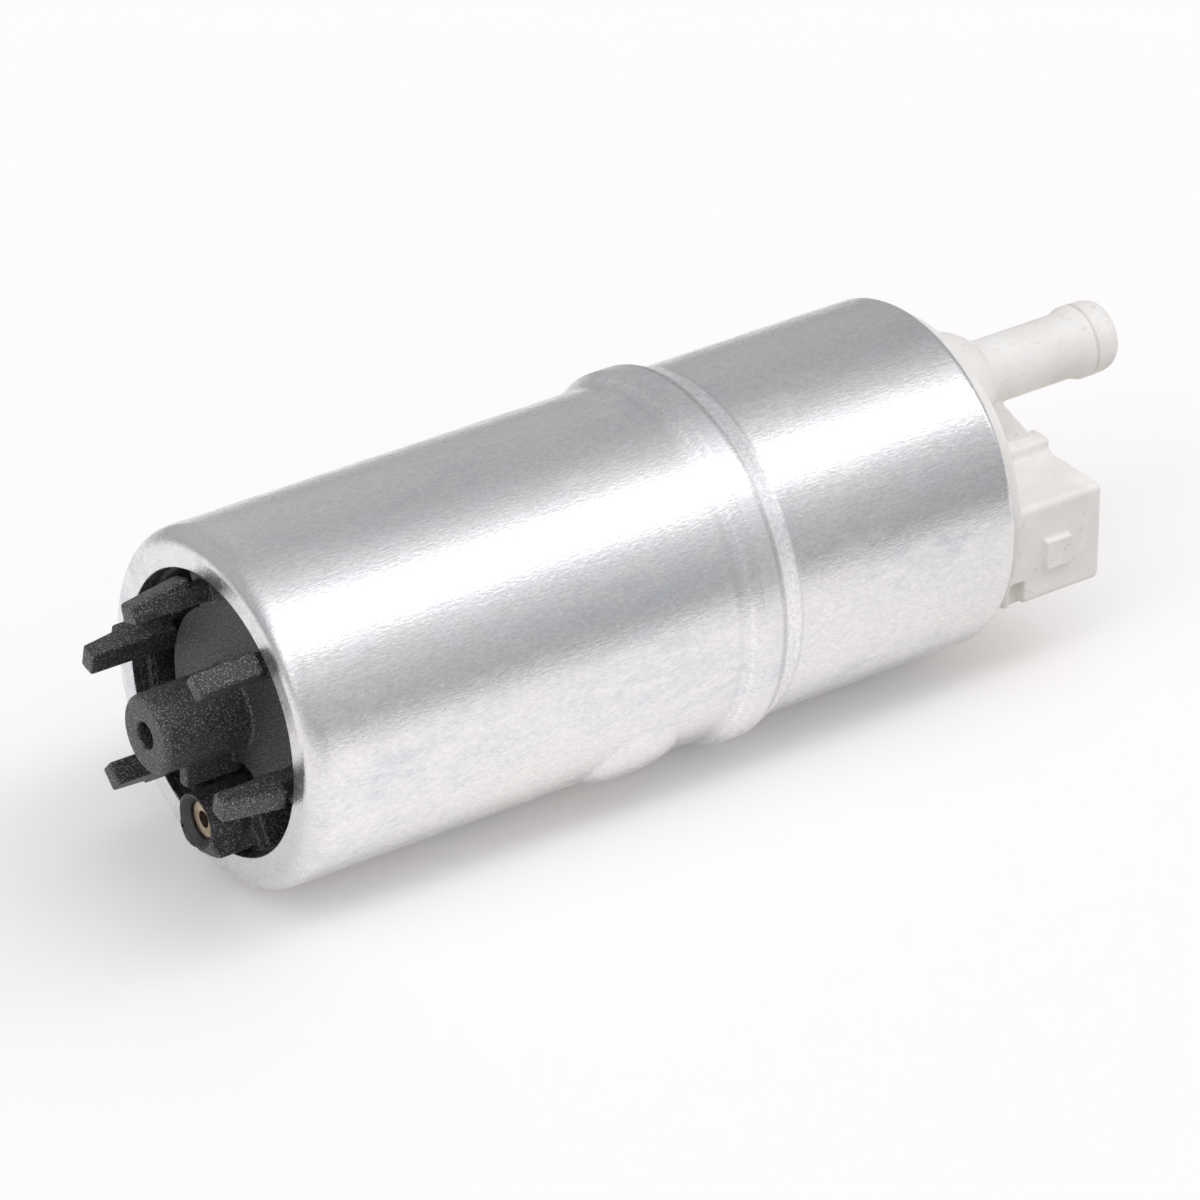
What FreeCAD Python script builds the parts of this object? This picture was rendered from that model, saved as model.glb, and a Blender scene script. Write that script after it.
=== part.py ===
import FreeCAD, Part
import math
import os
import Sketcher
from FreeCAD import Placement, Rotation, Vector

# Electric fuel pump: a drawn can that holds a gear pump, a motor and two moulded end covers.
# The pump axis is +X, from the inlet cover to the outlet nipple, and +Z is up.
# The origin is on that axis, at the middle of the plain barrel behind the bead, where a clamp sits.
# Angles are measured about +X, from +Y towards +Z, in degrees. Lengths are millimetres.
DIMENSIONS = [
    ("can_radius", 21.5, "outside radius of the can"),
    ("can_wall", 1.05, "sheet thickness of the can"),
    ("can_length", 98.0, "rim face to rear edge of the can"),
    ("clamp_setback", 16.2, "rear edge of the can to the middle of the clamped barrel"),
    ("rim_lip", 4.5, "width of the front rim's face, from the barrel inwards"),
    ("rim_round", 2.5, "outside rounding of the front rim"),
    ("rear_lip", 1.9, "width of the rolled rear edge"),
    ("rear_round", 1.4, "outside rounding of the rear edge"),
    ("bead_setback", 31.5, "rear edge of the can to the rear foot of the bead"),
    ("bead_rear_run", 3.1, "length of the bead's rear flank"),
    ("bead_crown_run", 2.8, "length of the bead's crown"),
    ("bead_front_run", 2.5, "length of the bead's front flank"),
    ("bead_height", 1.3, "bead above the barrel"),
    ("bead_blend", 2.4, "rounding of the bead's feet and crown"),
    ("oval_setback", 11.35, "bead's front foot to the middle of the pressed oval"),
    ("oval_angle", 224.0, "direction of the pressed oval"),
    ("oval_half_length", 6.2, "pressed oval, half length along the axis"),
    ("oval_half_width", 7.4, "pressed oval, half width round the barrel"),
    ("oval_height", 1.0, "pressed oval above the barrel"),
    ("slip_gap", 0.05, "radial gap of a piece that slips into the can"),
    ("run_gap", 0.04, "radial gap of a running fit"),
    ("overshoot", 1.0, "how far a hole's shape runs past the surface it opens"),
    ("cover_length", 12.0, "inlet cover along the axis, behind the rim's sheet"),
    ("plateau_depth", 2.55, "rim face to the cover's front plane"),
    ("ledge_depth", 2.15, "rim face to the ledge round the port"),
    ("ledge_width", 0.6, "width of that ledge"),
    ("port_width", 4.6, "width of the inlet port"),
    ("port_depth", 9.5, "rim face to the floor of the inlet port"),
    ("port_start_angle", -74.0, "inlet port, start direction"),
    ("port_sweep_angle", 134.0, "inlet port, sweep"),
    ("kidney_start_angle", -60.0, "suction kidney, start direction"),
    ("kidney_sweep_angle", 110.0, "suction kidney, sweep"),
    ("kidney_rise", 2.5, "suction kidney in front of the port's floor"),
    ("kidney_reach", 1.0, "suction kidney past the pressure kidney's outer edge"),
    ("pressure_start_angle", 125.0, "pressure kidney, start direction"),
    ("pressure_sweep_angle", 100.0, "pressure kidney, sweep"),
    ("recess_depth", 1.5, "blind pressure recess in the cover"),
    ("post_radius", 4.9, "centre post at its foot"),
    ("post_taper", 0.2, "centre post, radius lost from foot to tip"),
    ("post_reach", 8.85, "centre post in front of the rim face"),
    ("post_round", 0.9, "rounding of the post's tip"),
    ("pilot_radius", 1.6, "pilot hole in the post"),
    ("pilot_depth", 9.0, "depth of the pilot hole"),
    ("prong_angle", 12.0, "direction of the first prong"),
    ("prong_reach", 7.75, "prongs in front of the rim face"),
    ("prong_depth", 3.6, "inner face of a prong, inside the port's outer edge"),
    ("prong_tip_inset", 1.3, "outer face of a prong at its tip, inside the port's outer edge"),
    ("prong_root_inset", 0.1, "outer face of a prong at its root, inside the port's outer edge"),
    ("prong_width", 2.85, "width of a prong"),
    ("prong_sink", 0.5, "prong's root below the port's floor"),
    ("web_reach", 2.75, "web below the post, in front of the rim face"),
    ("web_side", -0.6, "near face of the web, Y"),
    ("web_thickness", 1.6, "thickness of the web"),
    ("web_gap", 1.05, "lower edge of the web above the relief valve's cup"),
    ("slot_depth", 2.5, "slot beside the web, below the cover's front plane"),
    ("slot_half_width", 1.4, "half width of that slot"),
    ("slot_near_side", -3.0, "rounded end of the slot, Y"),
    ("slot_near_drop", 7.8, "rounded end of the slot below the axis"),
    ("slot_far_side", 4.0, "far end of the slot, Y"),
    ("slot_far_drop", 10.0, "far end of the slot below the axis"),
    ("relief_side", -0.9, "relief valve axis, Y"),
    ("relief_inset", 0.05, "valve cup inside the port's outer edge"),
    ("relief_bore", 2.9, "radius of the relief valve's bore"),
    ("relief_wall", 0.55, "wall of the relief valve's cup"),
    ("relief_reach", 3.05, "relief valve's cup in front of the rim face"),
    ("relief_recess", 1.75, "cup's edge to the retainer"),
    ("relief_retainer", 0.8, "thickness of the retainer"),
    ("relief_hole", 1.0, "radius of the retainer's hole"),
    ("relief_ball_radius", 2.5, "radius of the relief ball"),
    ("relief_seat_radius", 1.6, "radius of the hole under the ball"),
    ("relief_depth", 8.2, "rim face to the floor of the relief bore"),
    ("relief_coil", 2.0, "coil radius of the relief spring"),
    ("relief_wire", 0.3, "wire radius of the relief spring"),
    ("skirt_root_drop", 0.7, "boss beside the cup, start of its near face below the valve axis"),
    ("skirt_near_reach", 5.2, "boss beside the cup, near face from the valve axis"),
    ("skirt_near_drop", 2.3, "boss beside the cup, corner below the valve axis"),
    ("skirt_far_reach", 5.1, "boss beside the cup, far face from the valve axis"),
    ("skirt_drop", 4.5, "boss beside the cup, lowest point below the valve axis"),
    ("vent_radius", 0.9, "pressure drilling to the relief valve"),
    ("vent_inset", 2.1, "axial pressure drilling inside the cover's edge"),
    ("vent_angle", 266.0, "direction of the pressure drilling"),
    ("vent_depth", 10.6, "rim face to the cross drilling"),
    ("rotor_width", 7.0, "thickness of the pump ring"),
    ("rotor_side_gap", 0.03, "side gap of the rotors"),
    ("rotor_inset", 5.9, "outer rotor inside the pump ring's edge"),
    ("eccentric_angle", 84.0, "direction of the outer rotor's axis"),
    ("eccentric_share", 0.08276, "offset of the rotors' axes as a share of the outer rotor's radius"),
    ("tooth_circle_share", 0.8207, "circle of the outer rotor's teeth as a share of its radius"),
    ("tooth_share", 0.2069, "radius of the outer rotor's teeth as a share of its radius"),
    ("kidney_inner_share", 0.5517, "inner edge of the kidneys as a share of the outer rotor's radius"),
    ("kidney_outer_share", 0.7931, "outer edge of the kidneys as a share of the outer rotor's radius"),
    ("plate_length", 5.0, "thickness of the port plate"),
    ("plate_hub", 2.5, "hub of the port plate behind the plate"),
    ("plate_hub_wall", 2.6, "wall of that hub round the bush"),
    ("bush_wall", 1.46, "wall of the shaft bushes"),
    ("bush_length", 6.5, "length of the shaft bushes"),
    ("shaft_radius", 2.5, "motor shaft"),
    ("shaft_relief", 0.3, "gap round the shaft where no bush holds it"),
    ("journal_step", 0.5, "step down to the front journal of the shaft"),
    ("journal_length", 4.5, "front journal in the cover"),
    ("journal_end_gap", 0.5, "gap in front of the journal"),
    ("flat_depth", 0.5, "drive flat on the shaft"),
    ("washer_gap", 0.1, "thrust washer to the port plate's hub"),
    ("washer_thickness", 0.8, "thrust washer"),
    ("washer_wall", 2.1, "width of the thrust washer's ring"),
    ("core_front_gap", 6.45, "port plate's hub to the armature core"),
    ("core_setback", 34.0, "rear edge of the can to the armature core"),
    ("air_gap", 0.5, "gap between magnets and core"),
    ("core_hub_share", 0.4336, "hub of the armature core as a share of the core's radius"),
    ("tooth_width_share", 0.2517, "width of a tooth of the core as a share of the core's radius"),
    ("shoe_thickness", 1.7, "thickness of the tooth shoes"),
    ("slot_opening", 2.0, "gap between two tooth shoes"),
    ("winding_overhang", 4.5, "windings past each end of the core"),
    ("winding_gap", 0.05, "insulation between windings and core"),
    ("commutator_gap", 0.5, "windings to the commutator's base"),
    ("commutator_length", 4.0, "length of the commutator's base"),
    ("commutator_rim", 0.4, "commutator's base past the outer edge of the brushes"),
    ("segment_thickness", 1.5, "thickness of the copper segments"),
    ("segment_inset", 0.2, "copper segments inside the base's edge"),
    ("segment_width", 5.1, "width of the copper segments"),
    ("segment_gap", 0.6, "gap between two segments"),
    ("yoke_wall", 1.8, "wall of the flux ring"),
    ("magnet_thickness", 3.8, "thickness of the magnets"),
    ("magnet_sweep_angle", 140.0, "sweep of one magnet"),
    ("magnet_overhang", 2.0, "magnets past each end of the core"),
    ("clip_depth", 3.0, "magnet clip, leg length"),
    ("clip_sheet", 0.6, "magnet clip, sheet thickness"),
    ("cap_setback", 20.0, "rear edge of the can to the front of the outlet cap"),
    ("cap_skirt", 3.9, "wall of the cap's skirt"),
    ("cap_floor_setback", 14.0, "rear edge of the can to the floor of the cap's cavity"),
    ("cap_disc_gap", 0.2, "gap between the cap's disc and the rolled edge"),
    ("cap_face_reach", 2.05, "cap's rear plane past the can's rear edge"),
    ("tower_wall", 1.6, "wall of the bearing tower round the bush"),
    ("tower_lip", 0.5, "bearing tower in front of the bush"),
    ("shaft_pocket_gap", 0.5, "free space round the shaft's rear end"),
    ("shaft_pocket_depth", 1.5, "free space behind the shaft's rear end"),
    ("rear_bush_setback", 18.5, "rear edge of the can to the rear bush"),
    ("brush_side", 4.0, "width of a brush"),
    ("brush_length", 9.0, "length of a brush"),
    ("brush_gap", 0.08, "brush in its guide, each side"),
    ("brush_bush_wall", 1.02, "cap between bush and brush guide"),
    ("brush_touch", 0.02, "brush to the commutator's face"),
    ("brush_coil", 1.4, "coil radius of the brush springs"),
    ("brush_wire", 0.25, "wire radius of the brush springs"),
    ("guide_gap", 1.5, "commutator's face to the front of the brush guides"),
    ("guide_wall", 1.1, "wall of a brush guide"),
    ("guide_end_setback", 4.5, "rear edge of the can to the end of the brush guides"),
    ("nipple_side", -2.5, "nipple axis, Y"),
    ("nipple_inset", 8.95, "nipple axis inside the cap's edge"),
    ("nipple_radius", 4.0, "outside radius of the nipple"),
    ("nipple_bore", 2.75, "bore of the nipple"),
    ("foot_swell", 2.8, "foot of the nipple past its neck"),
    ("foot_taper", 0.4, "radius lost over the foot"),
    ("foot_length", 2.55, "length of the foot"),
    ("cone_swell", 0.7, "cone's thin end past the neck"),
    ("cone_length", 2.9, "length of the cone behind the foot"),
    ("cone_blend", 1.8, "length of the blend from cone to neck"),
    ("neck_length", 11.8, "length of the straight neck"),
    ("barb_ramp", 1.3, "length of the barb's front ramp"),
    ("barb_crest", 1.5, "length of the barb's crest"),
    ("barb_swell", 0.5, "barb past the neck"),
    ("barb_nose", 3.35, "barb's crest to the nipple's tip"),
    ("tip_inset", 0.25, "tip's radius inside the neck"),
    ("tip_round", 1.0, "rounding of the tip"),
    ("chamber_radius", 4.0, "radius of the check valve's chamber"),
    ("chamber_reach", 5.2, "end of that chamber past the can's rear edge"),
    ("seat_setback", 8.0, "rear edge of the can to the check valve's seat"),
    ("seat_length", 2.5, "length of the seat ring"),
    ("seat_bore", 2.0, "bore of the seat ring"),
    ("poppet_gap", 0.5, "gap between the poppet's head and the chamber"),
    ("poppet_head", 1.2, "thickness of the poppet's head"),
    ("poppet_stem", 1.0, "radius of the poppet's stem"),
    ("poppet_stem_length", 5.8, "length of the poppet's stem"),
    ("poppet_nose_gap", 0.1, "poppet's nose in the seat's bore"),
    ("poppet_nose_taper", 0.5, "radius lost over the nose"),
    ("poppet_nose_length", 1.6, "length of the poppet's nose"),
    ("check_coil", 3.1, "coil radius of the check valve's spring"),
    ("check_wire", 0.28, "wire radius of the check valve's spring"),
    ("socket_inset", 2.9, "near face of the connector inside the cap's edge"),
    ("socket_far", -4.4, "far face of the connector, Y"),
    ("socket_low", -11.7, "underside of the connector, Z"),
    ("socket_high", 1.2, "top of the connector, Z"),
    ("socket_reach", 13.65, "connector's mouth past the cap's rear plane"),
    ("socket_wall", 1.3, "wall of the connector"),
    ("socket_far_wall", 2.5, "wall of the connector on its far side"),
    ("socket_floor", 3.45, "floor of the connector past the cap's rear plane"),
    ("notch_length", 2.2, "notch beside the connector's foot, along the axis"),
    ("notch_depth", 2.0, "notch beside the connector's foot, inwards"),
    ("notch_top", -8.5, "top of the notch, Z"),
    ("neck_low", -12.5, "underside of the connector's neck, Z"),
    ("neck_far", -8.0, "far side of the connector's neck, Y"),
    ("catch_start", 4.9, "catch, start past the cap's rear plane"),
    ("catch_length", 3.7, "catch along the axis"),
    ("catch_low", -7.6, "underside of the catch, Z"),
    ("catch_height", 3.9, "catch, height"),
    ("catch_proud", 0.85, "catch above the near face"),
    ("catch_sink", 0.3, "catch's root below the near face"),
    ("catch_slope", 0.6, "lead-in slope of the catch"),
    ("ridge_radius", 1.7, "rounded ridge on the connector's top"),
    ("ridge_rise", 0.4, "ridge's middle above the connector's top"),
    ("gusset_thickness", 1.6, "gusset between nipple and connector"),
    ("gusset_drop", 2.0, "gusset's top below the nipple's axis"),
    ("gusset_slope", 0.6, "gusset's top, fall from the cap to its corner"),
    ("gusset_corner", 7.25, "gusset's corner past the cap's rear plane"),
    ("gusset_reach", 11.55, "gusset's low end past the cap's rear plane"),
    ("blade_thickness", 0.8, "terminal blade"),
    ("blade_width", 2.8, "width of a terminal blade"),
    ("blade_setback", 2.7, "connector's mouth to the blades' tips"),
    ("blade_pitch", 5.0, "pitch of the two blades"),
    ("strap_thickness", 0.8, "strap between brush and blade"),
    ("lead_radius", 0.5, "brush lead wire"),
    ("seal_section", 0.85, "section radius of the two seal rings"),
    ("seal_groove", 1.9, "width of the seal grooves"),
    ("inlet_seal_station", 7.0, "rim face to the inlet seal"),
    ("outlet_seal_setback", 8.0, "rear edge of the can to the outlet seal"),
    ("dowel_radius", 1.2, "dowel pins of the pump stack"),
    ("dowel_inset", 2.4, "dowel pins inside the pump ring's edge"),
    ("dowel_sink", 3.0, "dowel pins in the cover and in the plate"),
    ("dowel_angle", 174.0, "direction of the first dowel pin"),
]
PRONG_STEPS = (0, 1, 2, 3, 5)
PRONG_PITCH = 60
INNER_LOBES = 6
OUTER_LOBES = 7
ARMATURE_SLOTS = 8

doc = FreeCAD.newDocument("FuelPump")
sheet = doc.addObject("Spreadsheet::Sheet", "Dims")
pieces = []


class Size:
    """A size as a number and as the expression that ties it to the sheet."""

    def __init__(self, value, text):
        self.value = float(value)
        self.text = text

    def __add__(self, other):
        other = sized(other)
        return Size(self.value + other.value, f"({self.text} + {other.text})")

    def __sub__(self, other):
        other = sized(other)
        return Size(self.value - other.value, f"({self.text} - {other.text})")

    def __mul__(self, other):
        other = sized(other)
        return Size(self.value * other.value, f"({self.text} * {other.text})")

    def __truediv__(self, other):
        other = sized(other)
        return Size(self.value / other.value, f"({self.text} / {other.text})")

    def __neg__(self):
        return Size(-self.value, f"(0 - {self.text})")


def sized(value):
    """A plain number as a Size; a Size as it is."""
    if isinstance(value, Size):
        return value
    return Size(value, f"({float(value):.6f})")


def cosine(angle):
    """Cosine of an angle in degrees."""
    angle = sized(angle)
    return Size(math.cos(math.radians(angle.value)), f"cos({angle.text} * 1 deg)")


def sine(angle):
    """Sine of an angle in degrees."""
    angle = sized(angle)
    return Size(math.sin(math.radians(angle.value)), f"sin({angle.text} * 1 deg)")


class Sheet:
    """The driving dimensions, one attribute for each named cell."""

    def __init__(self):
        for row, (name, value, meaning) in enumerate(DIMENSIONS, start=1):
            sheet.set(f"A{row}", meaning)
            sheet.set(f"B{row}", str(value))
            sheet.setAlias(f"B{row}", name)
            setattr(self, name, Size(value, f"Dims.{name}"))


dim = Sheet()
doc.recompute()

ALONG_X = Rotation(Vector(1, 1, 1), 120)


# Radius of every piece that slips into the can.
SLIP = dim.can_radius - dim.can_wall - dim.slip_gap
OVER = dim.overshoot


def station(distance):
    """A distance behind the rim face as a position along the axis."""
    return sized(distance) - (dim.can_length - dim.clamp_setback)


def before_rear(distance):
    """A distance in front of the can's rear edge as a position along the axis."""
    return station(dim.can_length - distance)


def behind_rear(distance):
    """A distance behind the can's rear edge as a position along the axis."""
    return station(dim.can_length + distance)


def polar(radius, angle):
    """Y and Z of a point at a radius and a direction."""
    return sized(radius) * cosine(angle), sized(radius) * sine(angle)


def bind(obj, **sizes):
    """Sets an object's sizes and ties them to the sheet."""
    for name, size in sizes.items():
        size = sized(size)
        setattr(obj, name, size.value)
        obj.setExpression(name, size.text)


def put(obj, x, y, z, turn=Rotation()):
    """Places an object and ties its position to the sheet."""
    at = [sized(value) for value in (x, y, z)]
    obj.Placement = Placement(Vector(*[value.value for value in at]), turn)
    for axis, value in zip("xyz", at):
        obj.setExpression("Placement.Base." + axis, value.text)
    return obj


def about_x(angle):
    """Turn about the pump axis."""
    return Rotation(Vector(1, 0, 0), sized(angle).value)


def rod(radius, start, end, y=0, z=0, name="Rod"):
    """Round bar along X."""
    bar = doc.addObject("Part::Cylinder", name)
    bind(bar, Radius=radius, Height=sized(end) - start)
    return put(bar, start, y, z, ALONG_X)


def wedge_rod(radius, start, end, angle, sweep, name="Sector"):
    """Part of a round bar along X, from one direction through a sweep."""
    bar = doc.addObject("Part::Cylinder", name)
    bind(bar, Radius=radius, Height=sized(end) - start, Angle=sweep)
    return put(bar, start, 0, 0, about_x(angle) * ALONG_X)


def block(x, y, z, name="Block"):
    """Box between pairs of limits along X, Y and Z."""
    box = doc.addObject("Part::Box", name)
    low = [sized(pair[0]) for pair in (x, y, z)]
    high = [sized(pair[1]) for pair in (x, y, z)]
    bind(box, Length=high[0] - low[0], Width=high[1] - low[1], Height=high[2] - low[2])
    return put(box, *low)


def spoke(x, radii, width, angle, name="Spoke"):
    """Box along X that stands between two radii in one direction."""
    box = doc.addObject("Part::Box", name)
    inner = sized(radii[0])
    half = sized(width) / 2
    bind(box, Length=sized(x[1]) - x[0], Width=sized(radii[1]) - inner, Height=width)
    y = inner * cosine(angle) + half * sine(angle)
    z = inner * sine(angle) - half * cosine(angle)
    return put(box, x[0], y, z, about_x(angle))


def join(shapes, name="Joined"):
    """Shapes made one."""
    if len(shapes) == 1:
        return shapes[0]
    whole = doc.addObject("Part::MultiFuse", name)
    whole.Shapes = shapes
    return whole


def cut(base, tools, name="Cut"):
    """A shape less others."""
    rest = doc.addObject("Part::Cut", name)
    rest.Base = base
    rest.Tool = join(tools, name + "Tools")
    return rest


def meet(first, second, name="Common"):
    """What two shapes share."""
    shared = doc.addObject("Part::Common", name)
    shared.Base = first
    shared.Tool = second
    return shared


def tube(outer, inner, start, end, y=0, z=0, name="Tube"):
    """Round tube along X."""
    bore = rod(inner, sized(start) - OVER, sized(end) + OVER, y, z)
    return cut(rod(outer, start, end, y, z), [bore], name)


def arc_band(outer, inner, start, end, angle, sweep, name="Band"):
    """Part of a tube along X, from one direction through a sweep."""
    core = rod(inner, sized(start) - OVER, sized(end) + OVER)
    return cut(wedge_rod(outer, start, end, angle, sweep), [core], name)


def sketch_outline(body, plane, points):
    """A closed outline of straight runs on one of the body's own planes."""
    sketch = body.newObject("Sketcher::SketchObject", "Outline")
    support = [feature for feature in body.Origin.OriginFeatures if feature.Role == plane][0]
    sketch.AttachmentSupport = [(support, "")]
    sketch.MapMode = "FlatFace"
    points = [(sized(across), sized(up)) for across, up in points]
    count = len(points)
    for index, (across, up) in enumerate(points):
        after = points[(index + 1) % count]
        ends = Vector(across.value, up.value, 0), Vector(after[0].value, after[1].value, 0)
        sketch.addGeometry(Part.LineSegment(*ends), False)
    for index in range(count):
        sketch.addConstraint(Sketcher.Constraint("Coincident", index, 2, (index + 1) % count, 1))
    for index, point in enumerate(points):
        for kind, axis, size in (("DistanceX", -2, point[0]), ("DistanceY", -1, point[1])):
            if abs(size.value) < 1e-9:
                sketch.addConstraint(Sketcher.Constraint("PointOnObject", index, 1, axis))
                continue
            number = sketch.addConstraint(Sketcher.Constraint(kind, -1, 1, index, 1, size.value))
            sketch.setExpression(f"Constraints[{number}]", size.text)
    return sketch


def ring_edges(shape, x, radius):
    """Names of the round edges at one station and radius."""
    names = []
    for number, edge in enumerate(shape.Edges, start=1):
        curve = edge.Curve
        if not hasattr(curve, "Radius"):
            continue
        if abs(curve.Radius - radius) < 1e-3 and abs(curve.Center.x - x) < 1e-3:
            names.append(f"Edge{number}")
    return names


def turned(outline, rounds=(), y=0, z=0, name="Turned"):
    """Solid turned about X from an outline of stations and radii, with rounded corners."""
    body = doc.addObject("PartDesign::Body", name)
    sketch = sketch_outline(body, "XZ_Plane", outline)
    solid = body.newObject("PartDesign::Revolution", "Turning")
    solid.Profile = sketch
    solid.ReferenceAxis = (sketch, ["H_Axis"])
    solid.Angle = 360
    doc.recompute()
    for radius, corners in rounds:
        names = []
        for across, up in corners:
            names += ring_edges(solid.Shape, sized(across).value, sized(up).value)
        rounded = body.newObject("PartDesign::Fillet", "Rounding")
        rounded.Base = (solid, names)
        bind(rounded, Radius=radius)
        doc.recompute()
        solid = rounded
    return put(body, 0, y, z)


def prism(plane, outline, depth, offset=0, turn=0, name="Prism"):
    """Solid of an outline on one of the body's own planes, half the depth to each side."""
    body = doc.addObject("PartDesign::Body", name)
    sketch = sketch_outline(body, plane, outline)
    pad = body.newObject("PartDesign::Pad", "Slab")
    pad.Profile = sketch
    pad.SideType = "Symmetric"
    bind(pad, Length=depth)
    doc.recompute()
    shift = sized(offset)
    along = {"XZ_Plane": (0, shift, 0), "YZ_Plane": (shift, 0, 0)}[plane]
    return put(body, *along, about_x(turn))


def coil(radius, wire, start, end, turns, y=0, z=0, name="Coil"):
    """Helical spring along X between two stations, wire surface to wire surface."""
    radius = sized(radius)
    wire = sized(wire)
    first = sized(start) + wire
    helix = doc.addObject("Part::Helix", name + "Line")
    length = sized(end) - start - wire * 2
    bind(helix, Radius=radius, Height=length, Pitch=length / turns)
    put(helix, first, y, z, ALONG_X)
    section = doc.addObject("Part::Circle", name + "Section")
    bind(section, Radius=wire)
    put(section, first, sized(y) + radius, z, ALONG_X * Rotation(Vector(1, 0, 0), 90))
    spring = doc.addObject("Part::Sweep", name)
    spring.Sections = [section]
    spring.Spine = (helix, ["Edge1"])
    spring.Solid = True
    spring.Frenet = True
    return spring


def keep(node, obj):
    """Names a finished sub-part."""
    obj.Label = node
    pieces.append(obj)
    return obj


# Stations of the bead, and of the oval that is pressed beside it.
BEAD_END = before_rear(dim.bead_setback)
CROWN_END = BEAD_END - dim.bead_rear_run
CROWN_START = CROWN_END - dim.bead_crown_run
BEAD_START = CROWN_START - dim.bead_front_run
OVAL_MIDDLE = BEAD_START - dim.oval_setback


def build_can():
    """Drawn aluminium can: rim, barrel, bead, pressed oval and rolled rear edge."""
    outer = dim.can_radius
    inner = outer - dim.can_wall
    crown = outer + dim.bead_height
    rim = station(0)
    rear = before_rear(0)
    rim_opening = outer - dim.rim_lip
    rear_opening = outer - dim.rear_lip
    lean = dim.can_wall / 4
    outline = [
        (rim, rim_opening),
        (rim, outer),
        (BEAD_START, outer),
        (CROWN_START, crown),
        (CROWN_END, crown),
        (BEAD_END, outer),
        (rear, outer),
        (rear, rear_opening),
        (rear - dim.can_wall, rear_opening),
        (rear - dim.can_wall, inner),
        (BEAD_END - lean, inner),
        (CROWN_END - lean, crown - dim.can_wall),
        (CROWN_START + lean, crown - dim.can_wall),
        (BEAD_START + lean, inner),
        (rim + dim.can_wall, inner),
        (rim + dim.can_wall, rim_opening),
    ]
    bead = [(BEAD_START, outer), (CROWN_START, crown), (CROWN_END, crown), (BEAD_END, outer)]
    rounds = [
        (dim.rim_round, [(rim, outer)]),
        (dim.rim_round - dim.can_wall, [(rim + dim.can_wall, inner)]),
        (dim.rear_round, [(rear, outer)]),
        (dim.bead_blend, bead),
    ]
    wall = turned(outline, rounds, name="CanWall")
    start = OVAL_MIDDLE - dim.oval_half_length * 2
    end = OVAL_MIDDLE + dim.oval_half_length * 2
    skin = tube(outer + dim.oval_height, inner + dim.can_wall / 2, start, end)
    hollow = tube(inner + dim.oval_height, inner - dim.overshoot, start, end)
    pad = meet(oval_column(0), skin, "OvalPad")
    pocket = meet(oval_column(dim.can_wall), hollow, "OvalPocket")
    keep("housing_can", cut(join([wall, pad]), [pocket], "HousingCan"))


def oval_column(shrink):
    """Column that stands out through the barrel with the pressed oval's outline."""
    ellipse = doc.addObject("Part::Ellipse", "OvalLine")
    bind(ellipse, MajorRadius=dim.oval_half_width - shrink, MinorRadius=dim.oval_half_length - shrink)
    turn = about_x(dim.oval_angle) * Rotation(Vector(0, 1, 1), 180)
    y, z = polar(dim.can_radius / 2, dim.oval_angle)
    put(ellipse, OVAL_MIDDLE, y, z, turn * Rotation(Vector(0, 0, 1), 90))
    column = doc.addObject("Part::Extrusion", "OvalColumn")
    column.Base = ellipse
    column.Solid = True
    column.DirMode = "Custom"
    angle = math.radians(dim.oval_angle.value)
    column.Dir = Vector(0, math.cos(angle), math.sin(angle))
    bind(column, LengthFwd=dim.can_radius)
    return column


# Stations and radii that the inlet cover shares with its neighbours.
RIM_OPENING = dim.can_radius - dim.rim_lip
PORT_EDGE = RIM_OPENING - dim.ledge_width
PLATEAU = station(dim.plateau_depth)
COVER_BACK = station(dim.can_wall + dim.cover_length)
RING_END = COVER_BACK + dim.rotor_width
PLATE_END = RING_END + dim.plate_length
HUB_END = PLATE_END + dim.plate_hub
ROTOR_EDGE = SLIP - dim.rotor_inset
KIDNEY_INNER = ROTOR_EDGE * dim.kidney_inner_share
KIDNEY_OUTER = ROTOR_EDGE * dim.kidney_outer_share
RELIEF_RISE = -(PORT_EDGE - dim.relief_bore - dim.relief_wall - dim.relief_inset)
VENT = polar(SLIP - dim.vent_inset, dim.vent_angle)
DOWELS = [polar(SLIP - dim.dowel_inset, dim.dowel_angle + turn) for turn in (0, 180)]


def dowel_rods():
    """The two dowel pins that line up cover, ring and plate."""
    ends = (COVER_BACK - dim.dowel_sink, RING_END + dim.dowel_sink)
    return [rod(dim.dowel_radius, *ends, *spot, name="Dowel") for spot in DOWELS]


def pressure_kidney(start, end):
    """Arc slot on the pump's pressure side."""
    arc = (dim.pressure_start_angle, dim.pressure_sweep_angle)
    return arc_band(KIDNEY_OUTER, KIDNEY_INNER, start, end, *arc, "PressureKidney")


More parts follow.
